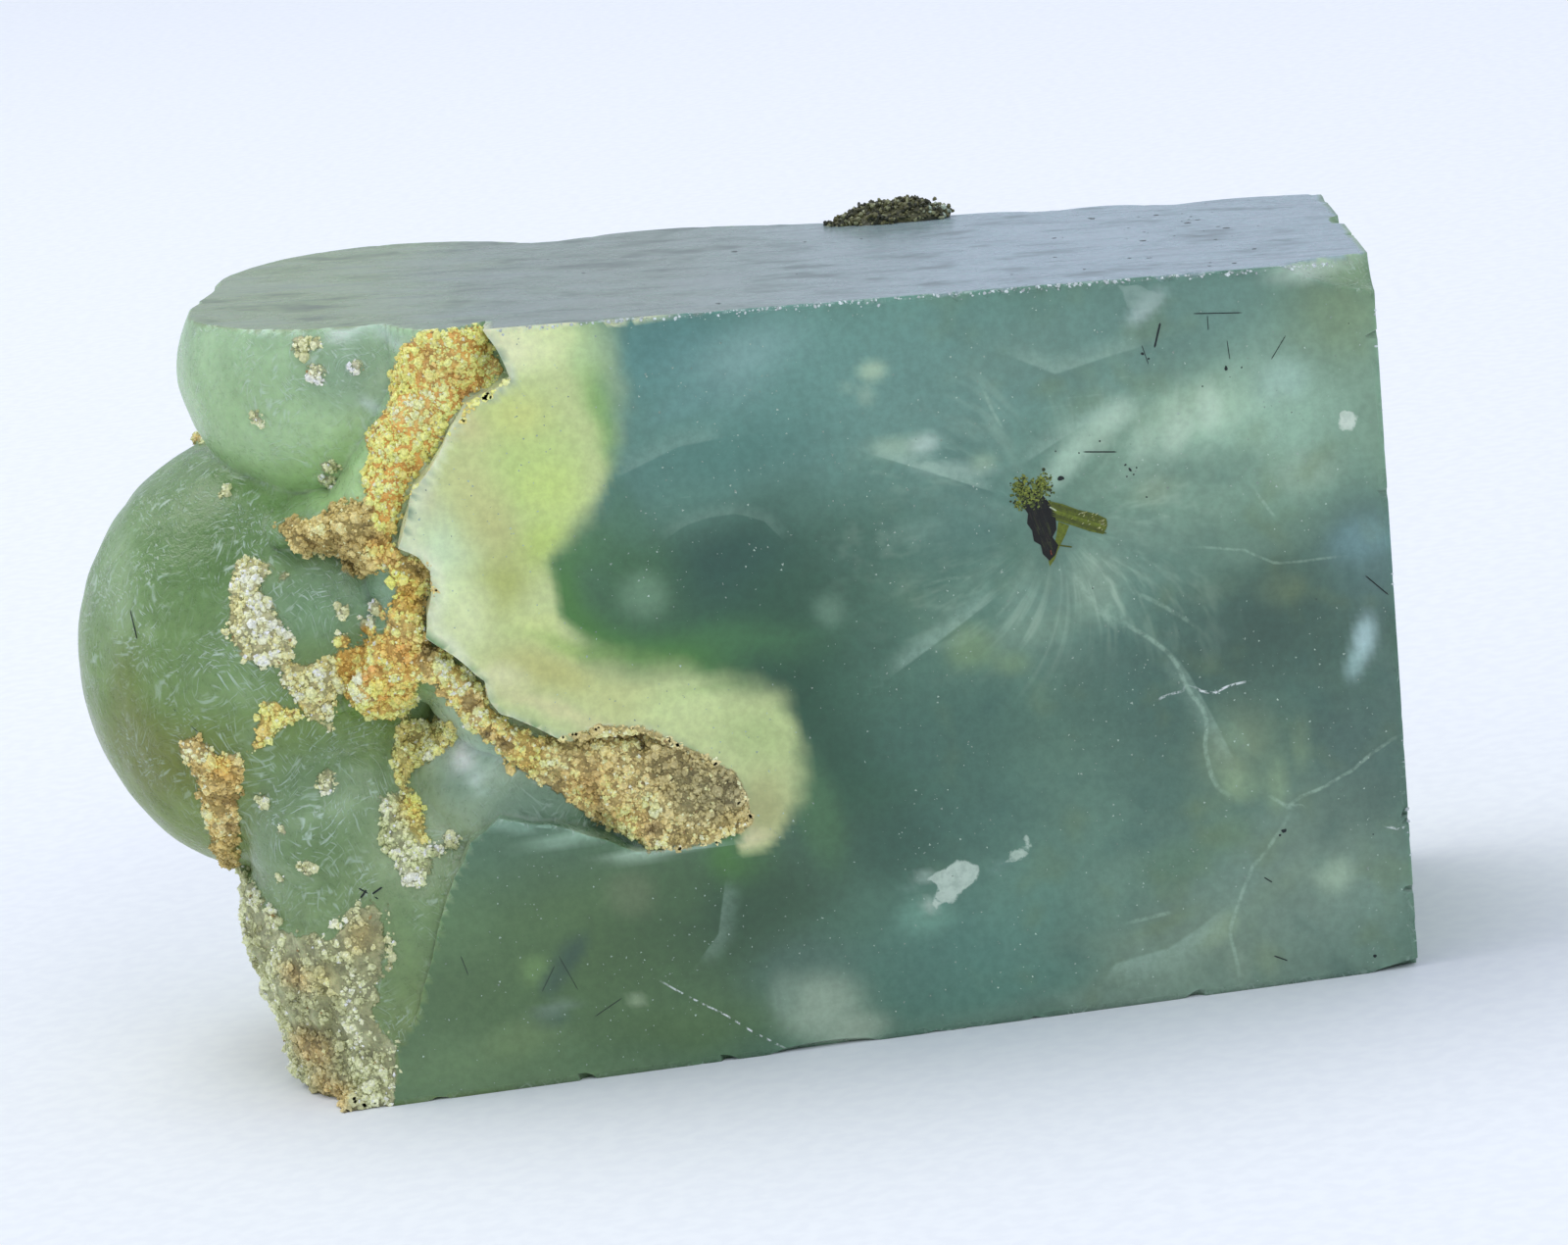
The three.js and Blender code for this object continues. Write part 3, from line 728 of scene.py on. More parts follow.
# Rounder, clearer bodies and glows in the cut.
BLOBS = [
    (657, 606, 26, 24, 0, (112, 148, 124), 0.75), (848, 622, 16, 18, 0, (108, 142, 124), 0.7),
    (643, 911, 27, 24, 0, (108, 128, 100), 0.75), (545, 990, 16, 16, 0, (112, 145, 98), 0.75),
    (574, 985, 12, 30, 35, (70, 94, 84), 0.75), (590, 968, 8, 20, 40, (66, 90, 84), 0.6),
    (560, 1004, 10, 14, 20, (72, 96, 86), 0.6), (562, 1040, 20, 12, 0, (76, 100, 96), 0.6),
    (650, 1020, 10, 7, 0, (144, 168, 140), 0.8), (566, 1028, 26, 7, 0, (118, 142, 130), 0.6),
    (890, 378, 14, 11, 0, (160, 190, 168), 0.95), (884, 404, 9, 12, 10, (140, 172, 158), 0.7),
    (866, 396, 8, 6, 0, (134, 168, 156), 0.6), (916, 456, 28, 11, 10, (150, 180, 162), 0.7),
    (943, 452, 16, 9, 0, (168, 194, 188), 0.8), (975, 476, 40, 8, 18, (150, 180, 172), 0.7),
    (1002, 470, 14, 10, 0, (152, 182, 160), 0.6), (945, 935, 29, 20, 0, (114, 158, 144), 0.8),
    (993, 660, 26, 22, 0, (126, 156, 116), 0.6), (1030, 675, 20, 14, 0, (122, 152, 116), 0.55),
    (1360, 893, 22, 19, 0, (156, 184, 164), 0.9), (1330, 880, 26, 10, -20, (136, 164, 148), 0.6),
    (1393, 650, 12, 26, 25, (166, 198, 202), 0.95), (1382, 676, 9, 18, 30, (148, 182, 182), 0.8),
    (1308, 390, 26, 22, 0, (152, 186, 176), 0.7), (1168, 316, 24, 9, -25, (164, 190, 188), 0.9),
    (1390, 550, 34, 22, 0, (112, 148, 152), 0.8), (1096, 462, 50, 14, -38, (164, 196, 180), 0.8),
    (1136, 424, 26, 14, -34, (168, 198, 182), 0.8), (1120, 450, 16, 12, 0, (160, 190, 172), 0.6),
    (1035, 560, 14, 30, 0, (86, 120, 106), 0.6), (1120, 596, 28, 34, 25, (146, 174, 156), 0.65),
    (1060, 640, 60, 16, 0, (124, 154, 136), 0.4), (1230, 480, 70, 24, 10, (110, 142, 128), 0.7),
    (930, 545, 34, 12, 0, (122, 156, 144), 0.4), (1180, 500, 26, 14, 0, (142, 168, 146), 0.6),
    (1335, 480, 34, 22, 0, (140, 168, 150), 0.7), (1285, 556, 60, 16, 0, (112, 142, 128), 0.5),
    (1155, 900, 60, 30, 0, (108, 140, 126), 0.6), (1250, 850, 30, 22, 0, (104, 134, 110), 0.6),
    (870, 940, 40, 24, 0, (82, 116, 100), 0.5), (836, 830, 22, 60, 0, (84, 122, 90), 0.8),
    (560, 935, 60, 20, 0, (94, 124, 88), 0.5), (440, 950, 60, 40, 0, (102, 134, 98), 0.6),
    (690, 905, 26, 40, 0, (82, 112, 82), 0.6), (530, 1060, 40, 20, 0, (112, 138, 100), 0.6),
    (1060, 1000, 70, 26, 0, (94, 136, 126), 0.6), (960, 1010, 50, 30, 0, (90, 128, 118), 0.5),
    (820, 990, 60, 36, 0, (92, 120, 112), 0.6), (870, 560, 36, 30, 0, (78, 112, 100), 0.5),
    (640, 520, 16, 40, -10, (84, 124, 104), 0.6), (1240, 600, 30, 16, 0, (94, 120, 104), 0.5),
    (1310, 600, 26, 20, 0, (106, 128, 104), 0.5), (1200, 880, 40, 24, 0, (92, 124, 100), 0.5),
    (1100, 720, 60, 30, 0, (88, 122, 110), 0.5), (900, 660, 26, 40, 10, (72, 106, 92), 0.5),
    (1420, 690, 16, 60, 0, (92, 118, 112), 0.5), (1405, 430, 26, 70, 0, (120, 150, 132), 0.6),
    (838, 1028, 44, 36, 0, (152, 176, 160), 0.95), (872, 1052, 34, 18, 0, (152, 174, 158), 0.85),
    (800, 1016, 16, 24, 20, (124, 150, 136), 0.8), (944, 893, 12, 6, 0, (150, 176, 168), 0.7),
    (948, 924, 8, 9, 30, (160, 184, 176), 0.8), (928, 905, 10, 5, 0, (110, 146, 136), 0.5),
    (1018, 884, 12, 5, -20, (110, 146, 138), 0.6), (1268, 800, 24, 18, 20, (136, 164, 134), 0.8),
    (1305, 800, 12, 30, 20, (130, 158, 130), 0.7), (1330, 762, 10, 30, 15, (120, 148, 124), 0.6),
    (1258, 748, 12, 26, -20, (118, 148, 128), 0.6), (1230, 820, 30, 12, 0, (108, 136, 112), 0.5),
    (1300, 905, 40, 14, -25, (124, 150, 132), 0.5), (1262, 985, 12, 26, 0, (136, 160, 144), 0.5),
    (1290, 980, 14, 20, 10, (134, 158, 132), 0.5), (1190, 940, 40, 8, -10, (120, 146, 122), 0.5),
    (1240, 950, 26, 12, -30, (140, 164, 134), 0.7), (1150, 990, 50, 16, -20, (112, 138, 126), 0.6),
    (1352, 272, 56, 13, 6, (176, 200, 190), 0.8), (1200, 440, 14, 26, 30, (176, 204, 188), 0.6),
    (1232, 416, 12, 24, 10, (178, 206, 190), 0.6), (1166, 452, 12, 22, 35, (170, 200, 184), 0.5),
    # (600, 849), (668, 868) and (520, 842): painted light, paler over the shaded recess under the crust
    # pocket.
    (600, 849, 62, 8, 4, (150, 184, 166), 0.8), (668, 868, 50, 7, 6, (164, 192, 176), 0.8),
    (520, 842, 30, 8, 20, (140, 174, 160), 0.6), (700, 410, 40, 12, -10, (108, 150, 148), 0.5),
    (1045, 360, 60, 30, 0, (112, 146, 136), 0.5),
]
# The pale kidney-shaped zone along the rim of the cut, and its glows.
KIDNEY_EDGE = [
    (604, 322), (618, 340), (630, 392), (633, 440), (625, 480), (600, 524), (582, 553), (564, 576),
    (566, 604), (576, 632), (606, 660), (646, 679), (702, 683), (762, 696), (800, 704), (815, 732),
    (820, 780), (818, 816), (802, 848), (780, 866), (752, 872),
]
KIDNEY_LIGHTS = [
    (560, 350, 60, 30, 0, (204, 222, 170), 1), (505, 358, 50, 30, 0, (222, 230, 192), 0.9),
    (536, 470, 60, 70, 0, (180, 205, 138), 1), (480, 500, 30, 50, 0, (192, 204, 148), 0.9),
    (558, 500, 30, 44, -20, (188, 213, 134), 0.9), (525, 425, 34, 20, 0, (200, 212, 138), 0.7),
    (556, 560, 30, 26, 0, (178, 204, 120), 0.9), (505, 540, 26, 40, 0, (182, 190, 134), 0.8),
    (446, 560, 26, 44, 0, (196, 221, 186), 1), (505, 605, 40, 28, -35, (166, 180, 110), 1),
    (462, 610, 26, 34, -30, (206, 226, 182), 0.8), (476, 640, 34, 26, -35, (206, 222, 178), 0.9),
    (560, 682, 60, 26, 20, (180, 188, 128), 1), (548, 640, 26, 16, 20, (196, 214, 148), 0.7),
    (516, 690, 26, 14, 30, (208, 216, 176), 0.8), (640, 714, 50, 26, 10, (188, 200, 144), 0.9),
    (705, 716, 50, 24, 10, (192, 212, 158), 1), (780, 745, 36, 36, 0, (170, 192, 138), 1),
    (784, 822, 30, 34, 0, (164, 172, 126), 1), (618, 420, 16, 74, 0, (130, 172, 108), 0.9),
    (606, 356, 22, 26, 0, (176, 206, 160), 0.8), (604, 660, 60, 8, 25, (150, 184, 104), 0.7),
    (740, 700, 60, 6, 5, (160, 190, 130), 0.5), (560, 722, 60, 10, 35, (200, 204, 160), 0.8),
    (772, 852, 26, 10, 0, (196, 196, 162), 0.8), (436, 510, 14, 26, 0, (190, 196, 160), 0.6),
    (470, 440, 26, 16, 40, (200, 200, 150), 0.7),
]
# Where its edge is soft, and where the radiating fibres show: picture place, half widths, strength.
KIDNEY_SOFT = [
    (600, 545, 50, 50, 0.5), (625, 370, 50, 90, 1.2), (640, 680, 90, 40, 1.6), (760, 705, 70, 40, 1.1),
    (815, 780, 50, 60, 0.6),
]
FIBRES = [
    (1130, 600, 50, 50, 1.0), (1060, 640, 60, 50, 0.7), (1225, 420, 60, 40, 0.9), (980, 620, 70, 50, 0.5),
    (1120, 430, 50, 50, 0.5), (940, 470, 60, 30, 0.6), (1180, 520, 60, 40, 0.5), (1000, 420, 40, 40, 0.4),
    (1200, 620, 50, 60, 0.5), (900, 560, 60, 50, 0.3),
]
# Where the natural skin is most silky, with the most pale dashes, partly painted glints.
SILK = [
    (310, 850, 70, 50, 0.8), (240, 700, 60, 60, 0.5), (350, 390, 60, 50, 0.5), (150, 620, 60, 90, 0.3),
    (330, 620, 50, 50, 0.6), (250, 560, 50, 40, 0.5),
]
GREEN_BAND = (82, 130, 66)
RIM_WHITE = (214, 231, 204)
# The cut's ground colour, its warm and cool drifts and its rays; the kidney, flakes and rim's wall.
CUT_TINT, CUT_WARM, CUT_COOL, RAY_TINT = (88, 120, 104), (112, 134, 98), (70, 104, 100), (160, 188, 172)
KIDNEY_TINT, FLAKE_TINT, WALL_TINT = (186, 204, 152), (190, 208, 202), (205, 216, 180)
# The ground top: left and right, the haze added to both, and the left end.
TOP_LEFT, TOP_RIGHT, TOP_HAZE, TOP_END = (116, 134, 126), (134, 156, 168), (90, 108, 110), (122, 144, 110)
SKIN_GLOW = (190, 212, 188)
RIM_CLOSING = [(20, 14.7), (20, 52)]  # closes the rim's outline at the right, in mm

# Pale veins in the cut: picture points, half width in mm, brightness.
VEINS = [
    (
        [
            (1138, 622), (1150, 636), (1177, 653), (1193, 666), (1203, 680), (1213, 703), (1227, 720),
            (1232, 735), (1230, 760), (1235, 787), (1243, 803), (1262, 815),
        ],
        0.18, 0.62,
    ),
    (
        [(1290, 807), (1313, 823), (1327, 813), (1353, 803), (1380, 787), (1400, 768), (1430, 750)], 0.13,
        0.7,
    ),
    (
        [
            (1317, 827), (1303, 850), (1290, 870), (1277, 883), (1267, 910), (1257, 937), (1253, 950),
            (1260, 980), (1265, 1006),
        ],
        0.15, 0.6,
    ),
    ([(1213, 557), (1270, 560), (1303, 575), (1343, 570), (1373, 567)], 0.1, 0.5),
    ([(1283, 503), (1303, 528)], 0.12, 0.5), ([(1150, 940), (1197, 930)], 0.16, 0.5),
    ([(1003, 395), (1012, 418), (1023, 437)], 0.12, 0.45),
    ([(1093, 583), (1115, 612), (1140, 642)], 0.26, 0.5),
    ([(1150, 600), (1190, 620), (1223, 640)], 0.16, 0.4),
    ([(1210, 443), (1222, 420), (1250, 397)], 0.26, 0.45),
    ([(1232, 448), (1240, 430), (1246, 404)], 0.2, 0.4),
    ([(940, 598), (966, 590), (1000, 588)], 0.12, 0.2),
]
# Edges in the cut, crisp on their right and fading to their left: points, fade in mm, brightness.
EDGES = [
    ([(628, 488), (660, 472), (692, 456), (740, 446)], 1.6, 0.3),
    ([(676, 552), (700, 536), (724, 528), (752, 524), (780, 532), (800, 552)], 1.1, 0.22),
    ([(887, 463), (930, 476), (975, 490), (1013, 502)], 1.2, 0.75),
    ([(1250, 925), (1223, 947), (1193, 967), (1137, 983), (1127, 1000)], 2.4, 0.6),
    ([(1027, 362), (1077, 382), (1127, 365), (1170, 352)], 1.5, 0.5),
    ([(740, 897), (733, 953), (713, 980)], 1.4, 0.35),
    ([(500, 813), (533, 843), (583, 847), (633, 862), (650, 872), (733, 864), (762, 860)], 0.7, 0.7),
    ([(1262, 780), (1240, 735), (1215, 690), (1196, 664)], 1.6, 0.4),
    ([(910, 690), (948, 662), (985, 634), (1020, 606)], 1.5, 0.55),
    ([(1044, 474), (1077, 452), (1103, 435), (1133, 422), (1150, 412)], 1.4, 0.45),
]
# Open cracks that glint.
CRACKS = [
    ([(1217, 700), (1228, 706), (1240, 707), (1250, 701), (1260, 698), (1273, 695)], 0.1, 1),
    ([(1182, 713), (1194, 708), (1207, 705)], 0.1, 0.7),
    ([(673, 1000), (690, 1010), (713, 1022), (740, 1035), (767, 1052), (803, 1070)], 0.08, 1),
    ([(1416, 843), (1426, 846), (1440, 842)], 0.1, 0.7),
]
# Milky flakes with crisp outlines: picture points, colour and strength.
FLAKES = [
    (
        [
            (943, 895), (952, 893), (962, 887), (978, 877), (990, 880), (1001, 885), (997, 896),
            (988, 905), (978, 912), (972, 921), (962, 920), (955, 927), (950, 922), (958, 908), (955, 900),
        ],
        (184, 206, 198), 0.9,
    ),
    ([(1047, 850), (1051, 862), (1045, 876), (1024, 881), (1034, 868), (1042, 864)], (176, 200, 190), 0.9),
    (
        [(1367, 424), (1372, 418), (1379, 419), (1386, 428), (1382, 434), (1378, 440), (1366, 437)],
        (200, 218, 210), 0.85,
    ),
    (
        [
            (1138, 284), (1150, 288), (1160, 290), (1182, 300), (1186, 308), (1170, 318), (1152, 314),
            (1146, 300),
        ],
        (140, 168, 162), 0.6,
    ),
]
EPIDOTE_AT = (1066, 533)

# The lobes of the natural end, in the order of END_LOBES: colour high up and low down. Between them lies
# painted light and shade as well as the stone's own tone: paler high up under the overhead light and darker
# low down, while the first lobe is paler low down, painted light where its lower edge glows.
LOBE_TINTS = [
    ((148, 180, 150), (160, 196, 142)), ((146, 176, 140), (140, 172, 128)),
    ((112, 144, 98), (110, 132, 66)), ((122, 154, 122), (110, 142, 100)),
    ((126, 152, 118), (114, 142, 104)), ((158, 182, 160), (104, 132, 106)),
    ((124, 150, 108), (112, 140, 96)), ((126, 148, 104), (108, 134, 88)),
    ((126, 156, 120), (112, 142, 100)), ((128, 152, 120), (110, 136, 100)),
    ((118, 146, 108), (106, 134, 96)),
]
BACK_PALE, BACK_DEEP = (150, 180, 142), (80, 114, 92)

# Spots on the natural end's skin, seen from the front. Most are the stone's own tone; the pale bluish-white
# ones are painted highlights and glints, and the pale one at (540, 830) is painted light over the shade under
# the crust pocket.
SKIN_SPOTS_AND_HIGHLIGHTS = [
    # (372, 352) and (300, 345): painted glints on the upper left lobe.
    (350, 400, 46, 44, 0, (130, 160, 140), 0.75), (372, 352, 34, 10, 8, (172, 198, 190), 0.6),
    (300, 345, 16, 8, 0, (180, 206, 190), 0.5), (205, 570, 56, 66, 30, (90, 122, 74), 0.85),
    # (150, 492): a painted highlight on the big left lobe's upper left.
    (150, 492, 24, 16, -35, (176, 206, 178), 0.7), (110, 640, 20, 60, 15, (150, 178, 142), 0.6),
    (240, 690, 50, 50, 0, (126, 156, 116), 0.5), (290, 640, 40, 30, 0, (120, 154, 124), 0.6),
    (160, 800, 50, 50, 30, (106, 120, 62), 0.8), (120, 740, 26, 60, 15, (110, 126, 66), 0.7),
    (310, 800, 46, 34, 0, (112, 142, 106), 0.6), (320, 880, 46, 34, 0, (100, 130, 84), 0.7),
    # (480, 780): part of the painted highlight on the lobe at (467, 783).
    (270, 800, 16, 40, 0, (112, 140, 100), 0.5), (480, 780, 40, 22, 10, (170, 198, 190), 0.6),
    # (540, 830): painted light over the shade under the crust pocket.
    (470, 810, 26, 26, 0, (102, 134, 116), 0.5), (540, 830, 40, 12, 20, (150, 176, 158), 0.6),
    (450, 870, 40, 26, 0, (140, 164, 136), 0.6), (420, 940, 24, 50, 0, (112, 142, 104), 0.5),
    (390, 620, 30, 30, 0, (128, 160, 140), 0.6), (420, 735, 20, 14, 0, (140, 170, 150), 0.6),
    (270, 468, 60, 34, 0, (160, 194, 154), 0.7), (440, 868, 60, 40, 0, (158, 180, 150), 0.6),
    # (467, 783), with (482, 800) and (490, 816) below: a painted highlight on that lobe.
    (160, 800, 66, 44, 20, (108, 120, 56), 0.75), (467, 783, 14, 10, -20, (214, 230, 230), 0.95),
    (482, 800, 11, 7, 0, (192, 216, 210), 0.7), (490, 816, 14, 5, 10, (176, 204, 196), 0.5),
    # These two, with (372, 425) and (264, 352) below: painted glints on the upper left lobe.
    (345, 352, 18, 7, 8, (206, 224, 220), 0.8), (392, 358, 16, 7, -12, (188, 212, 206), 0.8),
    (372, 425, 12, 6, 30, (190, 214, 216), 0.8), (384, 400, 10, 22, 35, (160, 188, 168), 0.6),
    (400, 450, 9, 26, 30, (150, 180, 156), 0.6), (264, 352, 8, 6, 0, (186, 212, 206), 0.7),
    (330, 560, 40, 14, -20, (122, 152, 118), 0.5), (250, 760, 30, 10, -40, (124, 150, 116), 0.5),
]


def to_mm(spots):
    """Picture spots as x, z, half widths in mm, tilt, colour and strength."""
    out = []
    for px, py, rx, ry, tilt, rgb, strength in spots:
        x, z = on_front((px, py))[0]
        out.append((x, z, rx / PX_PER_MM, ry / PX_PER_MM, math.radians(tilt - ROLL), body(rgb), strength))
    return out


def lay(color, spots, x, z, crisp):
    """Lays soft spots over a colour, one after another."""
    for sx, sz, rx, rz, tilt, rgb, strength in spots:
        c, s = math.cos(tilt), math.sin(tilt)
        u = ((x - sx) * c - (z - sz) * s) / rx
        v = ((x - sx) * s + (z - sz) * c) / rz
        w = strength * np.exp(-((u * u + v * v) ** crisp) * 0.9)
        color += w[:, None] * (rgb - color)
    return color


def spots_share(spots, x, z):
    """How strongly spots, given as picture place and half widths, cover each place, 0 to 1."""
    out = np.zeros(x.shape)
    for px, py, rx, ry, strength in spots:
        sx, sz = on_front((px, py))[0]
        out = np.maximum(
            out, strength * np.exp(-(((x - sx) * PX_PER_MM / rx) ** 2 + ((z - sz) * PX_PER_MM / ry) ** 2))
        )
    return out


def lines_field(group, x, z, reach, one_sided=False):
    """For a group of lines: signed distance over half width, and brightness near the line."""
    nearest, second = np.full(x.shape, 9.0), np.full(x.shape, 9.0)
    value, bright = np.full(x.shape, 9.0), np.zeros(x.shape)
    for points, width, strength in group:
        d, place = line_distance(on_front(points), x, z)
        span = np.abs(d) / width
        near = span < nearest
        ends = np.minimum(1, 6 * np.minimum(place, 1 - place) + 0.1)
        second = np.minimum(second, np.maximum(nearest, span))
        nearest = np.where(near, span, nearest)
        value = np.where(near, d / width, value)
        bright = np.where(near, strength * ends, bright)
    if one_sided:
        bright = bright * smooth(0.15, 0.7, second - nearest)
    return np.clip(value, -4, 4), bright * (nearest < reach)


def front_rays(x, z):
    """Broad pale and dark rays about the epidote, 0 to 1."""
    cx, cz = on_front(EPIDOTE_AT)[0]
    dx, dz = x - cx, z - cz
    reach = np.hypot(dx, dz) + 1e-6
    ring = np.stack([dx / reach, dz / reach, reach * 0.03], -1)
    return smooth(-0.2, 0.7, noise("rays", ring)) * smooth(1.0, 3.0, reach) * smooth(12.5, 5.0, reach)


def toward(tints, share, rgb):
    """Draws tints towards a body colour, each by its own share of the way."""
    tints += share[:, None] * (body(rgb) - tints)


def cut_tints(p, warp, haze, rim):
    """The colours inside the front cut: clouds, rays and the kidney with its green band."""
    x, y, z = coordinates(p)
    wx, wz = x + warp[:, 0], z + warp[:, 1]
    right_part = smooth(-32, -20, x)
    cut = np.tile(body(CUT_TINT), (len(p), 1))
    lay(cut, to_mm(CLOUDS), wx, wz, 1.25)
    lay(cut, to_mm(BLOBS), x + warp[:, 0] * 0.3, z + warp[:, 1] * 0.3, 1.7)
    cut *= (1 + (0.15 + 0.08 * smooth(-30, -18, x)) * haze)[:, None]
    hue = noise("hue", p)
    toward(cut, 0.3 * smooth(0.1, 0.9, hue) * right_part, CUT_WARM)
    toward(cut, 0.3 * smooth(-0.2, -1.0, hue) * right_part, CUT_COOL)
    toward(cut, 0.16 * front_rays(x, z) * smooth(1, 0, y), RAY_TINT)
    edge = list(on_front(KIDNEY_EDGE)) + RIM[::-1][:-1]
    kidney = polygon_distance(edge, x + warp[:, 0] * 0.15, z + warp[:, 1] * 0.15)
    band = np.exp(-((kidney - 0.5) / 1.3) ** 2) * smooth(9, 5, y) * smooth(36, 30, z) * smooth(-36, -42, x)
    toward(cut, 0.8 * band, GREEN_BAND)
    zone = np.tile(body(KIDNEY_TINT), (len(p), 1))
    lay(zone, to_mm(KIDNEY_LIGHTS), wx, wz, 1.2)
    reach = 0.5 + 1.3 * smooth(-53, -56, x)
    whiten = smooth(-reach, -0.05, noise("rim_white", p, rim)) * smooth(-40, -45, x)
    toward(zone, 0.8 * whiten, RIM_WHITE)
    streak = noise("streak", np.stack([kidney * 0.2, x * 0.5, z * 0.9], -1))
    zone *= (1 + 0.06 * haze + 0.1 * streak * smooth(-2.4, -0.3, kidney))[:, None]
    soft = 0.35 + 1.5 * spots_share(KIDNEY_SOFT, x, z)
    ragged = noise("kidney_edge", p, 0.2 * streak)
    inside = smooth(soft * 0.7, -soft, kidney + ragged) * smooth(7, 3, y)
    cut += inside[:, None] * (zone - cut)
    return cut


def lobe_tints(p, warp, haze):
    """The colours of the natural end's lobes, with painted light and shade from high to low, and painted
    highlights among the spots.
    """
    x, _, z = coordinates(p)
    total, skin = np.full(len(p), 1e-6), np.zeros((len(p), 3))
    for (at, r, yaw), (high, low) in zip(END_LOBES, LOBE_TINTS):
        w = np.exp(-np.clip(ellipsoid(p, at, r, yaw), -1, 12) / LOBE_BLEND)
        share = smooth(-0.8, 0.8, (z - at[2]) / r[2])[:, None]
        skin += w[:, None] * (body(low) + share * (body(high) - body(low)))
        total += w
    silk = noise("silk_upright", p * (1, 1, 0.4), noise("silk_across", p * (0.35, 1, 1)))
    skin *= ((1 + 0.2 * haze + 0.1 * silk) / total)[:, None]
    toward(skin, 0.16 * smooth(0.35, 1.0, silk + haze), SKIN_GLOW)
    lay(skin, to_mm(SKIN_SPOTS_AND_HIGHLIGHTS), x + warp[:, 0], z + warp[:, 1], 1.2)
    return skin


def stone_tints(p, warp, haze, rim, sawn):
    """The stone's colours inside the cuts, on the lobes and on the back."""
    x, y, z = coordinates(p)
    cut = cut_tints(p, warp, haze, rim)
    mottle = smooth(-0.7, 0.8, noise("mottle", p))[:, None]
    deep = body(BACK_DEEP) + mottle * (body(BACK_PALE) - body(BACK_DEEP))
    outside = deep + smooth(-44, -54, x)[:, None] * (lobe_tints(p, warp, haze) - deep)
    inner = deep * 0.85 + np.exp(-y / 5.0)[:, None] * (cut - deep * 0.85)
    top = sawn[:, 1] > 0.5
    under_top = body(TOP_LEFT) + smooth(-45, -15, x)[:, None] * (body(TOP_RIGHT) - body(TOP_LEFT))
    under_top += (0.25 * haze)[:, None] * body(TOP_HAZE)
    inner = np.where(top[:, None], under_top, inner)
    toward(inner, smooth(-46, -62, noise("top_end", p, x)) * top, TOP_END)
    lip = smooth(2.2 + 3 * smooth(-12, -8, x), 0.2, y)[:, None] * smooth(-60, -52, x)[:, None]
    outside += lip * (cut - outside)
    flat = np.clip(sawn.sum(1), 0, 1)
    tint = outside + flat[:, None] * (inner - outside)
    wall = smooth(0.9, 0.2, rim) * smooth(3.5, 1.5, y) * smooth(14, 17, z) * smooth(-38, -41, x)
    toward(tint, 0.8 * (wall * (1 - flat)), WALL_TINT)
    return tint


def front_lines(x, z, warp, front):
    """For the front cut's veins, edges and cracks: place in half widths, and brightness."""
    fields = {}
    for name, group, bend, reach in (
        ("vein", VEINS, 0.2, 2.6), ("edge", EDGES, 0, 1.4), ("crack", CRACKS, 0, 3.9),
    ):
        bent_x, bent_z = x + warp[:, 0] * bend, z + warp[:, 1] * bend
        at, light = lines_field(group, bent_x, bent_z, reach, one_sided=name == "edge")
        fields[name + "_at"], fields[name + "_light"] = at, light * front
    return fields


def flake_fields(x, z):
    """The milky flakes: distance to the nearest, its strength and its colour."""
    nearest, strength = np.full(len(x), 9.0), np.ones(len(x))
    tint = np.tile(body(FLAKE_TINT), (len(x), 1))
    for points, rgb, flake_strength in FLAKES:
        d = polygon_distance(on_front(points), x, z)
        tint = np.where((d < nearest)[:, None], body(rgb), tint)
        strength = np.where(d < nearest, flake_strength, strength)
        nearest = np.minimum(nearest, d)
    return nearest, strength, tint


def paint(p, normal):
    """Colours and fields for the stone's points, from where they lie."""
    x, y, z = coordinates(p)
    warp = np.stack([noise(name, p) for name in ("warp_x", "warp_z")], -1)
    drift = np.stack([noise(name, p) for name in ("drift_x", "drift_y", "drift_z")], -1)
    haze = noise("haze", p)
    rim = polygon_distance(RIM + RIM_CLOSING, x, z)
    sawn = sawn_share(p, normal)
    tint = stone_tints(p, warp, haze, rim, sawn)

    front = smooth(1.0, 0.0, y)
    silky = 0.7 * smooth(-0.5, 0.35, noise("silky", p)) + spots_share(SILK, x, z) * (y < BEHIND)
    flake, flake_light, flake_tint = flake_fields(x, z)
    first, second = nearest_lobes(p)
    crust = np.where(y < BEHIND + 1, -crust_field.at(p), -1)
    crust = np.maximum(crust - 0.55 * low_bare(p), (back_crust(p, second - first) - 0.5) * 1.2)
    crust = np.where(sawn[:, 1] > 0.5, -1, crust)
    crust = crust - 1.2 * smooth(0.4, 0.05, rim) * left_of_pocket(x) * (y < BEHIND)
    colors = {"tint": np.clip(tint, 0.003, 0.95), "crust_tint": crust_tint(p), "flake_tint": flake_tint}
    fields = {
        "polished": sawn[:, 0],
        "ground": np.clip(sawn[:, 1] + sawn[:, 2], 0, 1),
        "crust": np.clip(crust, -1, 1),
        **front_lines(x, z, warp, front),
        "flake": np.clip(flake, -1, 1) + (1 - front),
        "flake_light": flake_light,
        "dashed": silky * (1 - np.clip(sawn.sum(1), 0, 1)),
        "fibres": spots_share(FIBRES, x, z) * front,
        "specked": smooth(-0.5, 0.4, noise("specked", p)) * sawn[:, 0],
    }
    return colors, fields, {"drift": drift}


def sawn_share(p, normal):
    """How far each point lies on the front cut, on the top cut and on the other cuts."""
    x, y, z = p.T
    front = (y < 0.02) & (normal[:, 1] < -0.8)
    top = (np.abs(z - top_at(x)) < 0.03) & (normal[:, 2] > 0.8)
    rest = ((z < 0.02) & (normal[:, 2] < -0.8)) | ((np.abs(x - right_at(z)) < 0.03) & (normal[:, 0] > 0.8))
    return np.stack([front, top, rest], -1).astype(float)
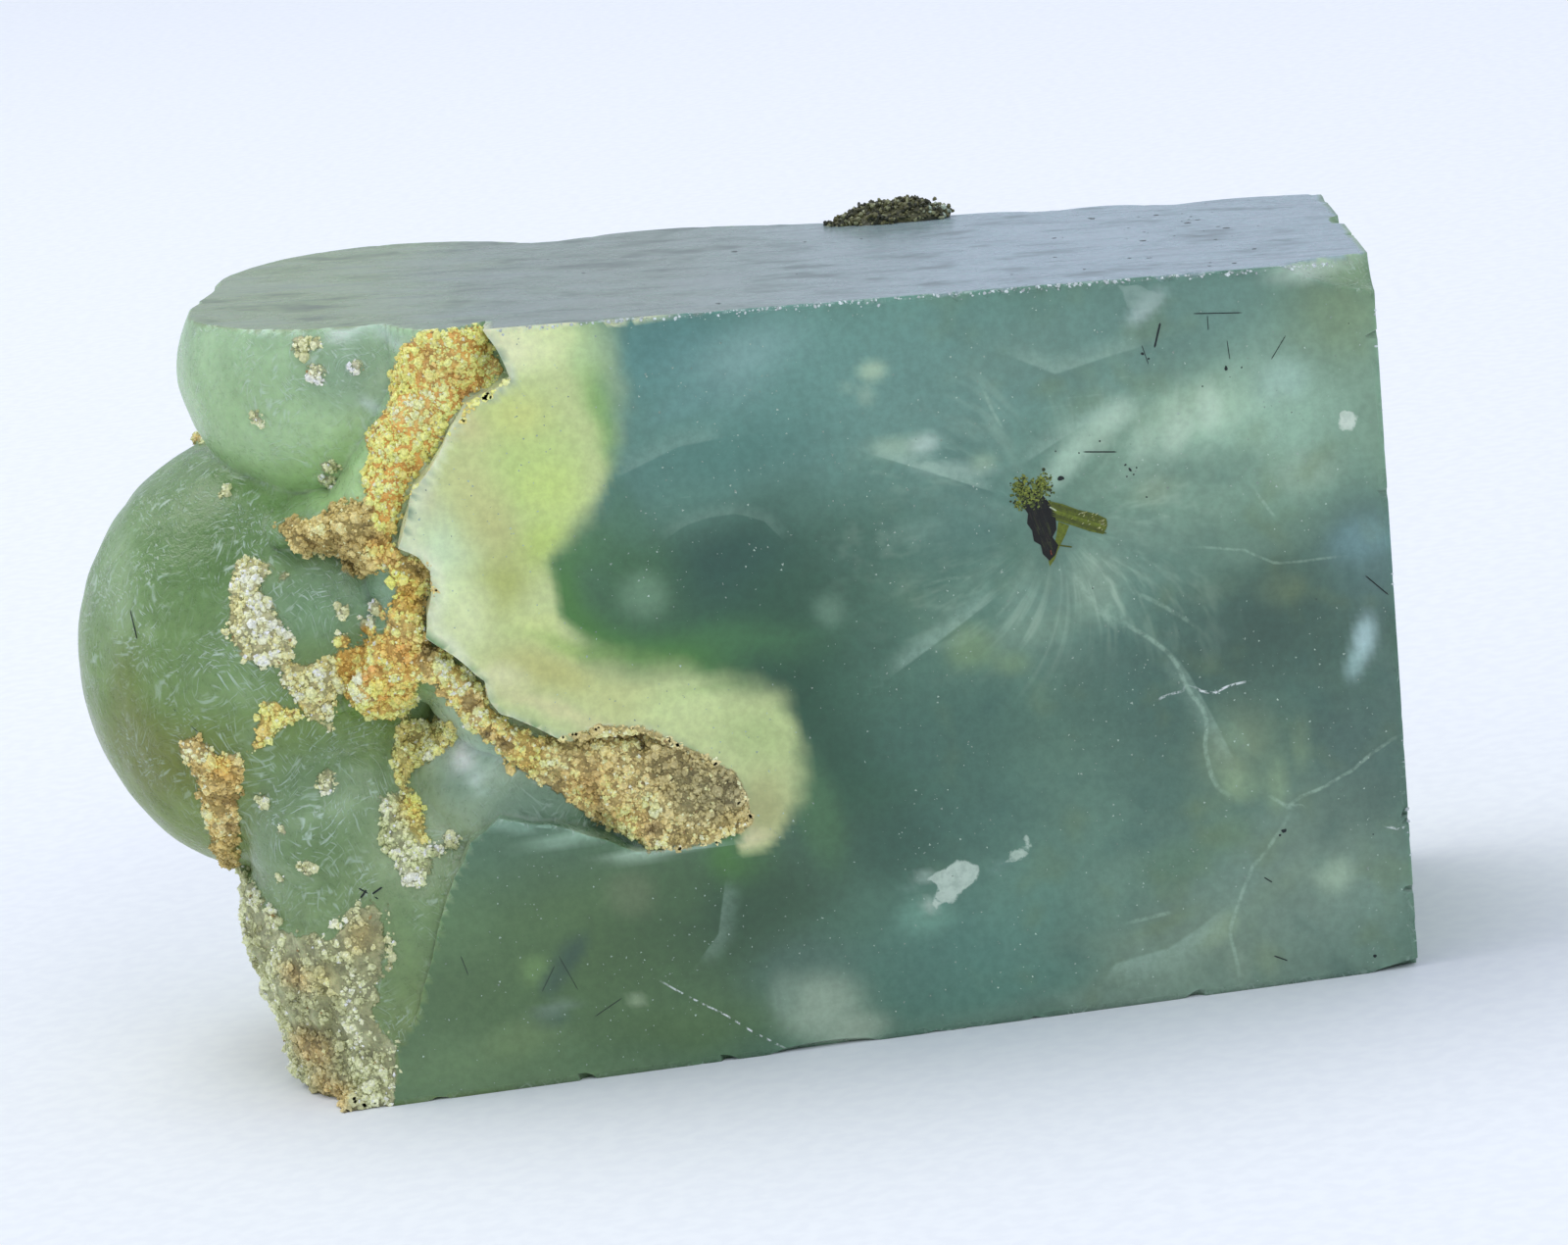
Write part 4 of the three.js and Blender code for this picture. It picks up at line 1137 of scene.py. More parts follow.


# ---- the crust's colours --------------------------------------------------------------------
# Each patch, and the specks and the back below: dark, middle and light, lit and shaded copies of its crust's
# colour that the grains take by painted light and shade.
CRUST_TINTS = {
    "top": ((210, 160, 86), (248, 184, 98), (254, 226, 146)),
    "branch": ((140, 122, 68), (168, 152, 92), (194, 182, 130)),
    "rim": ((150, 130, 76), (214, 186, 108), (238, 222, 162)),
    "orange": ((190, 150, 72), (218, 184, 100), (230, 214, 156)),
    "mid": ((168, 158, 100), (202, 198, 148), (222, 220, 188)),
    "left": ((162, 156, 104), (192, 190, 146), (214, 214, 184)),
    "yellow": ((176, 150, 76), (208, 186, 106), (224, 212, 156)),
    "farleft": ((132, 114, 60), (180, 158, 94), (200, 190, 144)),
    "drip": ((164, 152, 86), (198, 188, 114), (216, 210, 158)),
    "white": ((150, 154, 106), (182, 186, 146), (206, 210, 184)),
    "low": ((134, 134, 94), (166, 168, 126), (196, 200, 166)),
    "pocket": ((150, 136, 84), (184, 168, 110), (212, 203, 150)),
}
SPECK_TINT = ((150, 150, 106), (190, 190, 150), (214, 214, 184))
BACK_CRUST = ((128, 114, 68), (176, 160, 106), (206, 198, 156))
# Spots of another colour in the crust: picture place, radius in mm, colour. The darkest brown ones are
# painted shade in holes in the crust.
CRUST_SPOTS = [
    (427, 583, 0.8, (84, 72, 40)), (440, 663, 0.6, (80, 70, 40)), (483, 713, 0.6, (90, 76, 44)),
    (497, 747, 0.5, (84, 72, 42)), (373, 693, 0.4, (204, 112, 50)), (384, 680, 0.35, (206, 120, 56)),
    (413, 663, 1.0, (216, 168, 82)), (405, 600, 1.3, (218, 178, 76)), (452, 368, 1.6, (222, 190, 112)),
    (472, 398, 1.0, (204, 156, 82)), (430, 420, 1.2, (218, 190, 118)), (505, 375, 1.0, (226, 200, 128)),
    (395, 560, 0.9, (206, 162, 78)), (410, 610, 1.2, (216, 178, 84)), (388, 708, 0.9, (212, 160, 72)),
    (600, 800, 1.6, (208, 176, 104)), (640, 835, 1.5, (208, 178, 108)), (715, 800, 2.4, (150, 142, 98)),
    (680, 770, 1.4, (144, 132, 86)), (745, 800, 1.2, (146, 138, 98)), (540, 770, 1.2, (208, 176, 92)),
    (512, 752, 0.4, (86, 74, 42)), (563, 800, 0.4, (96, 82, 46)), (668, 838, 0.5, (96, 78, 42)),
    (225, 790, 0.9, (196, 152, 64)), (232, 830, 0.7, (140, 112, 56)), (232, 862, 0.6, (122, 100, 54)),
    (420, 830, 0.9, (218, 182, 84)), (275, 740, 1.0, (212, 190, 104)), (318, 1080, 1.4, (158, 132, 76)),
    (340, 1120, 1.4, (164, 140, 84)), (300, 1000, 1.0, (166, 144, 90)), (370, 950, 1.2, (188, 174, 116)),
    (330, 1000, 1.0, (184, 176, 120)),
]


def low_bare(p):
    """How bare the skin is between the grains of the low patch, 0 to 1."""
    patchy = smooth(-0.3, 0.3, noise("bare_skin", p))
    return patchy * smooth(14.5, 12.5, p[:, 2]) * smooth(1, 2.5, p[:, 2]) * smooth(-60, -61, p[:, 0])


def crust_shades(p):
    """The dark, middle and light crust colour at each point."""
    x, y, z = coordinates(p)
    x, z = noise("crust_x", p, x), noise("crust_z", p, z)
    nearest = np.full(len(p), 0.7)
    shades = np.tile(linear(SPECK_TINT), (len(p), 1, 1))
    for name, outline in PATCHES.items():
        d = polygon_distance(outline, x, z)
        shades[d < nearest] = linear(CRUST_TINTS[name])
        nearest = np.minimum(d, nearest)
    behind = y > BEHIND - 2
    shades[behind] = linear(BACK_CRUST)
    for px, py, r, rgb in CRUST_SPOTS:
        sx, sz = on_front((px, py), 2.0)[0]
        w = np.exp(-(((x - sx) ** 2 + (z - sz) ** 2) / r**2) ** 1.5) * ~behind
        spot = linear(rgb)
        # Each spot too in dark, middle and light: painted shaded and lit copies of its colour.
        shades += (0.8 * w)[:, None, None] * (np.array([spot * 0.6, spot, spot * 1.3]) - shades)
    return shades


def crust_lit_share(p):
    """From darker, 0, to paler, 1: painted shade in the crust's hollows and painted light on its lumps, from
    the same noise that lifts them, with some tone at random.
    """
    return np.clip(noise("crust_shade", p, 0.45), 0, 1)[:, None]


def between(shades, share):
    """Between the dark shade, at share 0, the middle one and the light one, at 1."""
    low = shades[:, 0] + (shades[:, 1] - shades[:, 0]) * share * 2
    return np.where(share < 0.5, low, shades[:, 1] + (shades[:, 2] - shades[:, 1]) * (share * 2 - 1))


def crust_tint(p):
    return between(crust_shades(p), crust_lit_share(p) * 0.8)


# ---- materials ------------------------------------------------------------------------------
class Graph:
    """A material's nodes. Positions are millimetres in the saw frame."""

    def __init__(self, name):
        self.material = bpy.data.materials.new(name)
        self.material.use_nodes = True
        self.tree = self.material.node_tree
        self.shader = self.tree.nodes["Principled BSDF"]
        place = self.add("ShaderNodeTexCoord").outputs["Object"]
        place = self.vector("SCALE", place, scale=1 / MM)
        self.p = self.vector("SUBTRACT", place, tuple(SHIFT))
        split = self.add("ShaderNodeSeparateXYZ", self.p)
        self.x, self.y, self.z = split.outputs

    def plug(self, socket, value):
        if isinstance(value, bpy.types.NodeSocket):
            self.tree.links.new(value, socket)
        elif value is not None:
            socket.default_value = value

    def add(self, kind, *values, **settings):
        made = self.tree.nodes.new(kind)
        for key, value in settings.items():
            setattr(made, key, value)
        for socket, value in zip(made.inputs, values):
            self.plug(socket, value)
        return made

    def math(self, operation, a, b=None):
        return self.add("ShaderNodeMath", a, b, operation=operation).outputs[0]

    def times(self, *values):
        out = values[0]
        for value in values[1:]:
            out = self.math("MULTIPLY", out, value)
        return out

    def plus(self, *values):
        out = values[0]
        for value in values[1:]:
            out = self.math("ADD", out, value)
        return out

    def vector(self, operation, a, b=None, scale=None):
        made = self.add("ShaderNodeVectorMath", a, b, operation=operation)
        if scale is not None:
            self.plug(made.inputs["Scale"], scale)
        return made.outputs[0]

    def turned(self, place, angles, stretch):
        """A place turned by angles in degrees, then stretched."""
        turn = self.add("ShaderNodeVectorRotate", place, rotation_type="EULER_XYZ")
        turn.inputs["Rotation"].default_value = [math.radians(a) for a in angles]
        return self.vector("MULTIPLY", turn.outputs[0], stretch)

    def ramp(self, value, low, high, out_low=0.0, out_high=1.0):
        made = self.add(
            "ShaderNodeMapRange", value, low, high, out_low, out_high, interpolation_type="SMOOTHSTEP"
        )
        return made.outputs[0]

    def spread(self, noise, low, high):
        """A noise, which mostly lies from 0.3 to 0.7, spread over low to high."""
        return self.ramp(noise, 0.3, 0.7, low, high)

    def noise(self, place, scale, detail=3.0, rough=0.5):
        made = self.add("ShaderNodeTexNoise")
        self.plug(made.inputs["Vector"], place)
        for key, value in (("Scale", scale), ("Detail", detail), ("Roughness", rough)):
            made.inputs[key].default_value = value
        return made.outputs[0]

    def field(self, name):
        return self.add("ShaderNodeAttribute", attribute_name=name).outputs["Fac"]

    def color(self, name):
        return self.add("ShaderNodeAttribute", attribute_name=name).outputs["Color"]

    def mix(self, share, a, b, blend="MIX"):
        made = self.add("ShaderNodeMix", data_type="RGBA", blend_type=blend)
        self.plug(made.inputs[0], share)
        self.plug(made.inputs[6], a)
        self.plug(made.inputs[7], b)
        return made.outputs[2]

    def shade(self, color, value):
        """A colour times a number."""
        return self.vector("SCALE", color, scale=value)

    def finish(self, color, rough, height, settings):
        """Plugs in colour, roughness and a height in millimetres, and sets plain numbers."""
        bump = self.add("ShaderNodeBump")
        bump.inputs["Distance"].default_value = MM
        bump.inputs["Strength"].default_value = 1.0
        self.plug(bump.inputs["Height"], height)
        self.plug(self.shader.inputs["Base Color"], color)
        self.plug(self.shader.inputs["Roughness"], rough)
        self.plug(self.shader.inputs["Normal"], bump.outputs[0])
        for key, value in settings.items():
            self.shader.inputs[key].default_value = value
        return self.material


def plain_color(rgb):
    """An sRGB colour as a shader takes it."""
    return (*linear(rgb).tolist(), 1.0)


def body_color(rgb):
    """A colour of the stone's body as a shader takes it."""
    return (*body(rgb).tolist(), 1.0)


# How light goes through the stone.
CLEAR = {
    "IOR": 1.5,
    "Subsurface Weight": 0.35,
    "Subsurface Scale": MM,
    "Subsurface Radius": (0.7, 1.1, 0.9),
    "Subsurface Anisotropy": 0.2,
}
# What the front cut shows inside, and what lies on the stone's faces.
FIBRE_TINT, VEIN_TINT, VEIL_TINT = (176, 206, 188), (166, 198, 182), (158, 190, 178)
# The second tint here, of the whitish top front edge, is partly crushed stone and partly a painted highlight.
CRACK_TINT, BRUISE_AND_GLINT_TINT, DASH_GLINT_TINT = (236, 242, 236), (190, 208, 200), (206, 226, 208)
STREAK_TINT, SMUDGE_TINT = (70, 84, 84), (74, 84, 80)


def start_stone(name):
    """The stone's tint, faintly mottled, and the grain that mottles it."""
    g = Graph(name)
    grain = g.noise(g.p, 1.7, 3.0, 0.65)
    return g, grain, g.shade(g.color("tint"), g.spread(grain, 0.92, 1.08))


def bruised_and_glinting(g, grain, color):
    """The whitish edge where the front cut meets the top, partly crushed stone and partly a painted highlight
    where light catches the edge: its colour and how strong it is.
    """
    drop = g.math("SUBTRACT", g.plus(g.times(g.x, TOP_FALL), TOP_AT_RIGHT), g.z)
    near_edge = g.math("SQRT", g.plus(g.times(drop, drop), g.times(g.y, g.y)))
    bruise_and_glint = g.times(g.ramp(g.plus(near_edge, g.times(grain, 1.1)), 0.66, 0.44), 0.7)
    return g.mix(bruise_and_glint, color, plain_color(BRUISE_AND_GLINT_TINT)), bruise_and_glint


def crusted(g, grain, color):
    """The colour under the crust's grains, and how much crust there is."""
    share = g.ramp(g.plus(g.field("crust"), grain), 0.4, 0.62)
    return g.mix(share, color, g.shade(g.color("crust_tint"), g.spread(grain, 0.8, 1.5))), share


def cut_material():
    """The polished front cut."""
    g, grain, color = start_stone("prehnite_cut")

    # Fibres that radiate from the epidote.
    centre = on_front(EPIDOTE_AT)[0]
    dx, dz = g.math("SUBTRACT", g.x, float(centre[0])), g.math("SUBTRACT", g.z, float(centre[1]))
    flat = g.add("ShaderNodeCombineXYZ", dx, 0.0, dz).outputs[0]
    reach = g.add("ShaderNodeVectorMath", flat, operation="LENGTH").outputs["Value"]
    spread = g.add("ShaderNodeCombineXYZ", g.math("MULTIPLY", reach, 0.06)).outputs[0]
    rays = g.noise(g.vector("ADD", g.vector("NORMALIZE", flat), spread), 9.0, 2.0, 0.6)
    rays = g.times(g.ramp(rays, 0.46, 0.7), g.field("fibres"), g.ramp(reach, 1.2, 3.5))
    color = g.mix(g.times(rays, 0.42), color, body_color(FIBRE_TINT))

    # Veins, one-sided edges, milky flakes and glinting cracks.
    vein = g.ramp(g.math("ABSOLUTE", g.field("vein_at")), 1.2, 0.3)
    vein = g.times(vein, g.field("vein_light"), g.ramp(grain, 0.35, 0.62, 0.25, 1.0))
    color = g.mix(g.times(vein, 0.65), color, body_color(VEIN_TINT))
    at = g.field("edge_at")
    veil = g.times(g.ramp(at, -0.05, 0.06), g.ramp(at, 1.0, 0.0), g.field("edge_light"))
    color = g.mix(g.times(veil, g.spread(grain, 0.5, 0.85)), color, body_color(VEIL_TINT))
    flake = g.times(g.ramp(g.plus(g.field("flake"), g.times(grain, 0.7)), 0.44, 0.26), g.field("flake_light"))
    color = g.mix(g.times(flake, g.ramp(grain, 0.3, 0.6, 0.7, 1.0)), color, g.color("flake_tint"))
    crack = g.ramp(g.math("ABSOLUTE", g.field("crack_at")), 1.0, 0.4)
    crack = g.times(crack, g.field("crack_light"), g.ramp(grain, 0.42, 0.56))
    color = g.mix(crack, color, plain_color(CRACK_TINT))

    color, bruise_and_glint = bruised_and_glinting(g, grain, color)
    color, crust = crusted(g, grain, color)
    rough = g.plus(g.spread(grain, 0.16, 0.24), g.times(crust, 0.5), g.times(bruise_and_glint, 0.15))
    ripple = g.noise(g.p, 1.3, 1.0, 0.5)
    height = g.plus(g.times(ripple, 0.01), g.times(crack, 0.05))
    return g.finish(color, rough, height, CLEAR)


def ground_material():
    """The top, the underside and the right end, sawn and ground."""
    g, grain, color = start_stone("prehnite_ground")
    streaks = g.noise(g.turned(g.p, (0, 3, 4), (0.09, 1.1, 1.1)), 1.0, 2.0, 0.6)
    color = g.mix(g.ramp(streaks, 0.5, 0.72, 0.0, 0.3), color, plain_color(STREAK_TINT))
    smudge = g.noise(g.turned(g.p, (0, 0, 12), (0.3, 0.6, 1.0)), 0.6, 3.0, 0.65)
    color = g.mix(g.ramp(smudge, 0.54, 0.7, 0.0, 0.5), color, plain_color(SMUDGE_TINT))
    color, bruise_and_glint = bruised_and_glinting(g, grain, color)
    rough = g.plus(g.spread(smudge, 0.2, 0.34), g.times(bruise_and_glint, 0.15))
    return g.finish(color, rough, g.times(streaks, 0.004), CLEAR)


def skin_material():
    """The natural skin of the lobes, silky with short pale dashes, partly painted glints of light on its
    fibres, and the crust that lies on it.
    """
    g, grain, color = start_stone("prehnite_skin")
    drift = g.add("ShaderNodeAttribute", attribute_name="drift").outputs["Vector"]
    adrift = g.vector("ADD", g.p, drift)
    one = g.noise(g.turned(adrift, (0, 30, 12), (0.8, 2.0, 5.0)), 1.0, 1.0, 0.6)
    two = g.noise(g.turned(adrift, (0, -64, -20), (0.9, 2.0, 6.2)), 1.0, 1.0, 0.6)
    # The pale dashes are partly the skin's fibres and partly painted glints of light on them.
    glint_dash = g.times(g.ramp(g.math("MAXIMUM", one, two), 0.56, 0.74), g.field("dashed"))
    color = g.mix(g.times(glint_dash, 0.6), color, plain_color(DASH_GLINT_TINT))
    color, crust = crusted(g, grain, color)
    rough = g.plus(g.spread(grain, 0.26, 0.36), g.times(crust, 0.45))
    height = g.plus(g.times(grain, 0.09), g.times(glint_dash, 0.04), g.times(crust, grain, 0.25))
    return g.finish(color, rough, height, CLEAR)


def grain_material(name, rough, ior):
    """Grains and crystals: each has its own colour, with fine mottling and a pitted face."""
    g = Graph(name)
    mottle = g.noise(g.p, 5.0, 2.0, 0.65)
    color = g.shade(g.color("grain"), g.spread(mottle, 0.75, 1.18))
    roughness = g.spread(mottle, rough - 0.1, rough + 0.08)
    return g.finish(color, roughness, g.times(mottle, 0.05), {"IOR": ior})


# ---- grains and crystals --------------------------------------------------------------------
def icosahedron():
    """A solid's points and faces, for rounder grains."""
    t = (1 + 5**0.5) / 2
    points = np.array([
        (-1, t, 0), (1, t, 0), (-1, -t, 0), (1, -t, 0), (0, -1, t), (0, 1, t),
        (0, -1, -t), (0, 1, -t), (t, 0, -1), (t, 0, 1), (-t, 0, -1), (-t, 0, 1),
    ])
    faces = np.array([
        (0, 11, 5), (0, 5, 1), (0, 1, 7), (0, 7, 10), (0, 10, 11), (1, 5, 9), (5, 11, 4),
        (11, 10, 2), (10, 7, 6), (7, 1, 8), (3, 9, 4), (3, 4, 2), (3, 2, 6), (3, 6, 8),
        (3, 8, 9), (4, 9, 5), (2, 4, 11), (6, 2, 10), (8, 6, 7), (9, 8, 1),
    ])
    return points / np.hypot(1, t), faces


def turns(random, n):
    """n random turns, as matrices."""
    q = random.normal(size=(n, 4))
    a, b, c, d = (q / np.linalg.norm(q, axis=1, keepdims=True)).T
    return np.stack([
        1 - 2 * (c * c + d * d), 2 * (b * c - a * d), 2 * (b * d + a * c),
        2 * (b * c + a * d), 1 - 2 * (b * b + d * d), 2 * (c * d - a * b),
        2 * (b * d - a * c), 2 * (c * d + a * b), 1 - 2 * (b * b + c * c),
    ], -1).reshape(n, 3, 3)


def octahedron():
    """A solid's points and faces, for small crystals."""
    points = np.array([(1, 0, 0), (-1, 0, 0), (0, 1, 0), (0, -1, 0), (0, 0, 1), (0, 0, -1)], float)
    faces = np.array([(0, 2, 4), (2, 1, 4), (1, 3, 4), (3, 0, 4), (2, 0, 5), (1, 2, 5), (3, 1, 5), (0, 3, 5)])
    return points, faces


GRAIN_SHAPES = 24  # how many random shapes the grains of one piece share
FLOOR_GAP = 0.02  # how far above the floor every grain stays, in mm


def grain_piece(name, random, centres, sizes, tints, material, front=None, solid=icosahedron):
    """Many small angular grains as one piece, ground off at the top cut and at this depth in front."""
    ball, faces = solid()
    n, corners = len(centres), len(ball)
    shapes = ball[None] * random.uniform(0.72, 1.25, (GRAIN_SHAPES, corners, 1))
    stretch = random.uniform(0.7, 1.3, (n, 1, 3))
    local = shapes[random.integers(GRAIN_SHAPES, size=n)] * stretch * sizes[:, None, None]
    points = np.einsum("nij,nkj->nki", turns(random, n), local) + centres[:, None, :]
    if front is not None:
        points[..., 1] = np.maximum(points[..., 1], front)
        points[..., 2] = np.minimum(points[..., 2], top_at(points[..., 0]) + GROUND_PROUD)
    points[..., 2] = np.maximum(points[..., 2], FLOOR_GAP)
    every = (faces[None] + corners * np.arange(n)[:, None, None]).reshape(-1, 3)
    colors = np.repeat(tints, corners, axis=0)
    return mesh_piece(name, points.reshape(-1, 3), every, [material], colors={"grain": colors})


def sample_faces(random, points, quads, weight, n):
    """n random places on quads, chosen by area and weight, and the quads' normals there."""
    corners = points[quads].astype(float)
    cross = np.cross(corners[:, 2] - corners[:, 0], corners[:, 3] - corners[:, 1])
    area = np.linalg.norm(cross, axis=1) / 2
    share = area * weight
    picked = random.choice(len(quads), n, p=share / share.sum())
    u, v = random.random((2, n, 1))
    c = corners[picked]
    place = (c[:, 0] * (1 - u) + c[:, 1] * u) * (1 - v) + (c[:, 3] * (1 - u) + c[:, 2] * u) * v
    return place, cross[picked] / np.maximum(2 * area[picked, None], 1e-9)


def band_faces(bands, around):
    """Triangles that join rings of points, all equally long, into one tube."""
    faces = []
    for band in range(bands):
        for k in range(around):
            a, b = band * around + k, band * around + (k + 1) % around
            faces += [(a, b, b + around), (a, b + around, a + around)]
    return faces


def prism(sides, length, width, thick, tip):
    """A crystal along X: a long ring-sided prism with two tapering ends."""
    around = np.arange(sides) / sides * 2 * math.pi
    rings = []
    for place, scale in ((0, tip), (0.08, 1), (0.92, 1), (1, tip)):
        rings.append(np.stack([
            np.full(sides, (place - 0.5) * length),
            np.cos(around) * thick * scale / 2,
            np.sin(around) * width * scale / 2,
        ], -1))
    points = np.concatenate(rings + [np.array([[-0.5 * length, 0, 0], [0.5 * length, 0, 0]])])
    faces, near, far, last = band_faces(3, sides), 4 * sides, 4 * sides + 1, 3 * sides
    for k in range(sides):
        after = (k + 1) % sides
        faces += [(near, after, k), (far, last + k, last + after)]
    return points, np.array(faces)


class Crystals:
    """Gathers prisms, each with its own colour, into one piece."""

    def __init__(self):
        self.points, self.faces, self.tints, self.count = [], [], [], 0

    def add(self, points, faces, tint):
        self.points.append(points)
        self.faces.append(faces + self.count)
        self.tints.append(np.broadcast_to(np.asarray(tint, float), (len(points), 3)))
        self.count += len(points)

    def lie(self, start, end, width, thick, tint, sides=6, tip=0.5, depth=0.0):
        """A prism along the front cut between two picture points, its axis this deep in the stone."""
        a, b = on_front((start, end))
        points, faces = prism(sides, float(np.hypot(*(b - a))), width, thick, tip)
        angle = math.atan2(b[1] - a[1], b[0] - a[0])
        c, s = math.cos(angle), math.sin(angle)
        x = points[:, 0] * c - points[:, 2] * s + (a[0] + b[0]) / 2
        z = points[:, 0] * s + points[:, 2] * c + (a[1] + b[1]) / 2
        self.add(np.stack([x, points[:, 1] + depth, z], -1), faces, tint)

    def plate(self, outline, tint, proud=0.02, deep=0.3, taper=0.7):
        """A crystal's cut face, from its outline in picture points, that goes back into the stone."""
        flat = on_front(outline)
        n = len(flat)
        middle = flat.mean(0, keepdims=True)
        near = np.concatenate([flat, middle])
        far = np.concatenate([middle + (flat - middle) * taper, middle])
        y = np.repeat((-proud, deep), n + 1)
        both = np.concatenate([near, far])
        points = np.stack([both[:, 0], y, both[:, 1]], -1)
        k, after = np.arange(n), (np.arange(n) + 1) % n
        front = np.stack([k, after, np.full(n, n)], -1)
        back = np.stack([after + n + 1, k + n + 1, np.full(n, 2 * n + 1)], -1)
        sides = np.concatenate([
            np.stack([k, k + n + 1, after], -1), np.stack([after, k + n + 1, after + n + 1], -1),
        ])
        self.add(points, np.concatenate([front, back, sides]), tint)

    def piece(self, name, material, slot):
        return mesh_piece(
            name, np.concatenate(self.points), np.concatenate(self.faces), [material],
            colors={"grain": np.concatenate(self.tints)},
        )


# Dark needles in the front cut: picture ends and width in mm.
NEEDLES = [
    ((1217, 320), (1268, 319), 0.08), ((1232, 322), (1233, 337), 0.06), ((1184, 329), (1178, 355), 0.16),
    ((1252, 347), (1255, 367), 0.06), ((1312, 342), (1297, 367), 0.06), ((1105, 461), (1140, 461), 0.1),
    ((607, 1037), (635, 1018), 0.06), ((1393, 587), (1417, 607), 0.1), ((570, 975), (590, 1010), 0.04),
    ((553, 1012), (566, 985), 0.04), ((470, 975), (478, 995), 0.05), ((1165, 352), (1172, 372), 0.05),
    ((1290, 895), (1298, 900), 0.1), ((1300, 975), (1314, 980), 0.1),
]
# Dark specks in the front cut: picture place and radius in mm.
DARK_SPECKS = [
    (1251, 376, 0.13), (1267, 375, 0.08), (1227, 394, 0.08), (1077, 460, 0.09), (1101, 462, 0.08),
    (1082, 488, 0.22), (1122, 450, 0.08), (1148, 474, 0.1), (1153, 479, 0.14), (1157, 484, 0.09),
    (1150, 486, 0.07), (1160, 477, 0.07), (1170, 507, 0.08), (1115, 600, 0.07), (1310, 847, 0.16),
    (1306, 852, 0.1), (1403, 975, 0.14), (1368, 999, 0.12), (1203, 643, 0.06), (1401, 851, 0.08),
    (1343, 611, 0.06), (1166, 361, 0.12), (1172, 366, 0.08), (1376, 330, 0.06),
]
TOP_PITS = 46  # how many dark pits the ground top has
PALE_SPECKS = 2600  # how many pale specks the front cut has, most of them painted sparkles of light off tiny pits in the polish
PIT_CROWD, PITS_CROWDED, PITS_APART = 0.65, (-16, -4), (-48, -2)  # share of the crowd; x from, to
NEEDLE_TINT, PIT_SHADE_TINT, PALE_SPECK_TINT = (26, 36, 34), (52, 60, 52), (190, 212, 192)
NEEDLE_SIDES, NEEDLE_TIP = 5, 0.25
GROUND_PROUD = 0.012  # how far a grain may stand above the ground top, in mm
# Dark needles that lie on the lobes: picture ends and width in mm.
LOBE_NEEDLES = [
    ((133, 622), (140, 652), 0.1), ((177, 723), (202, 747), 0.07), ((262, 677), (268, 684), 0.14),
    ((368, 916), (374, 908), 0.14), ((380, 912), (390, 905), 0.12), ((366, 906), (386, 917), 0.1),
]


def needle_piece(material):
    """The dark needles on the lobes and in the front cut."""
    random = np.random.default_rng(71)
    made = Crystals()
    for start, end, width in LOBE_NEEDLES:
        a, b = on_stone((start, end))
        points, faces = prism(NEEDLE_SIDES, float(np.linalg.norm(b - a)), width, width, NEEDLE_TIP)
        turn = np.array(Vector((b - a).tolist()).to_track_quat("X", "Z").to_matrix())
        made.add(points @ turn.T + (a + b) / 2, faces, linear(NEEDLE_TINT))
    for start, end, width in NEEDLES:
        tint = linear(NEEDLE_TINT) * random.uniform(0.7, 1.5)
        made.lie(start, end, width, 0.07, tint, sides=NEEDLE_SIDES, tip=NEEDLE_TIP, depth=0.01)
    made.piece("needles", material, "epidote")


def dark_specks(material):
    """Dark specks in the front cut, and in the top dark grains that stand for its pits, painted with the
    shade inside them.
    """
    random = np.random.default_rng(77)
    spots = np.array(DARK_SPECKS)
    flat = on_front(spots[:, :2])
    centres = np.stack([flat[:, 0], np.full(len(spots), 0.03), flat[:, 1]], -1)
    crowded = random.random(TOP_PITS) < PIT_CROWD
    x = random.uniform(*PITS_CROWDED, TOP_PITS)
    x = np.where(crowded, x, random.uniform(*PITS_APART, TOP_PITS))
    pits = np.stack([x, random.uniform(1.5, 28, TOP_PITS), top_at(x) - 0.02], -1)
    sizes = np.concatenate([spots[:, 2], 0.07 + 0.22 * random.random(TOP_PITS) ** 2.5])
    tints = np.repeat(linear(NEEDLE_TINT)[None], len(sizes), 0)
    tints[len(spots):] = linear(PIT_SHADE_TINT)
    places = np.concatenate([centres, pits])
    grain_piece("dark_specks", random, places, sizes, tints, material, -0.02)


def pale_specks(points, quads, share, material):
    """Fine pale specks all through the front cut, painted sparkles of light glinting off tiny pits in the
    polish.
    """
    random = np.random.default_rng(78)
    place, _ = sample_faces(random, points, quads, share, PALE_SPECKS)
    place[:, 1] = 0.02
    tints = linear(PALE_SPECK_TINT) * random.uniform(0.45, 1.0, (PALE_SPECKS, 1))
    grain_piece(
        "pale_specks", random, place, 0.03 + 0.07 * random.random(PALE_SPECKS) ** 2, tints,
        material, -0.008, octahedron,
    )


# Outlines of the epidote's crystals in the front cut, in picture points.
WEDGE = [
    (1041, 504), (1050, 499), (1061, 502), (1069, 511), (1077, 524), (1078, 540), (1074, 548), (1080, 556),
    (1077, 566), (1071, 572), (1064, 565), (1062, 556), (1055, 552), (1053, 541), (1048, 534), (1049, 524),
    (1043, 515),
]
PRISM = [
    (1070, 511), (1084, 514), (1100, 520), (1118, 524), (1129, 529), (1130, 536), (1126, 545), (1112, 542),
    (1094, 536), (1078, 531), (1071, 524),
]
BLADE = [
    (1080, 532), (1091, 536), (1087, 546), (1081, 558), (1076, 571), (1071, 578), (1070, 572), (1075, 560),
    (1078, 546),
]
EPIDOTE_OLIVE, EPIDOTE_DARK = (92, 104, 26), (12, 14, 8)
EPIDOTE_YELLOW, EPIDOTE_PALE = (150, 148, 60), (204, 206, 160)
STREAK_SHADES = (EPIDOTE_DARK, (34, 30, 22), (44, 50, 22), (22, 26, 18))
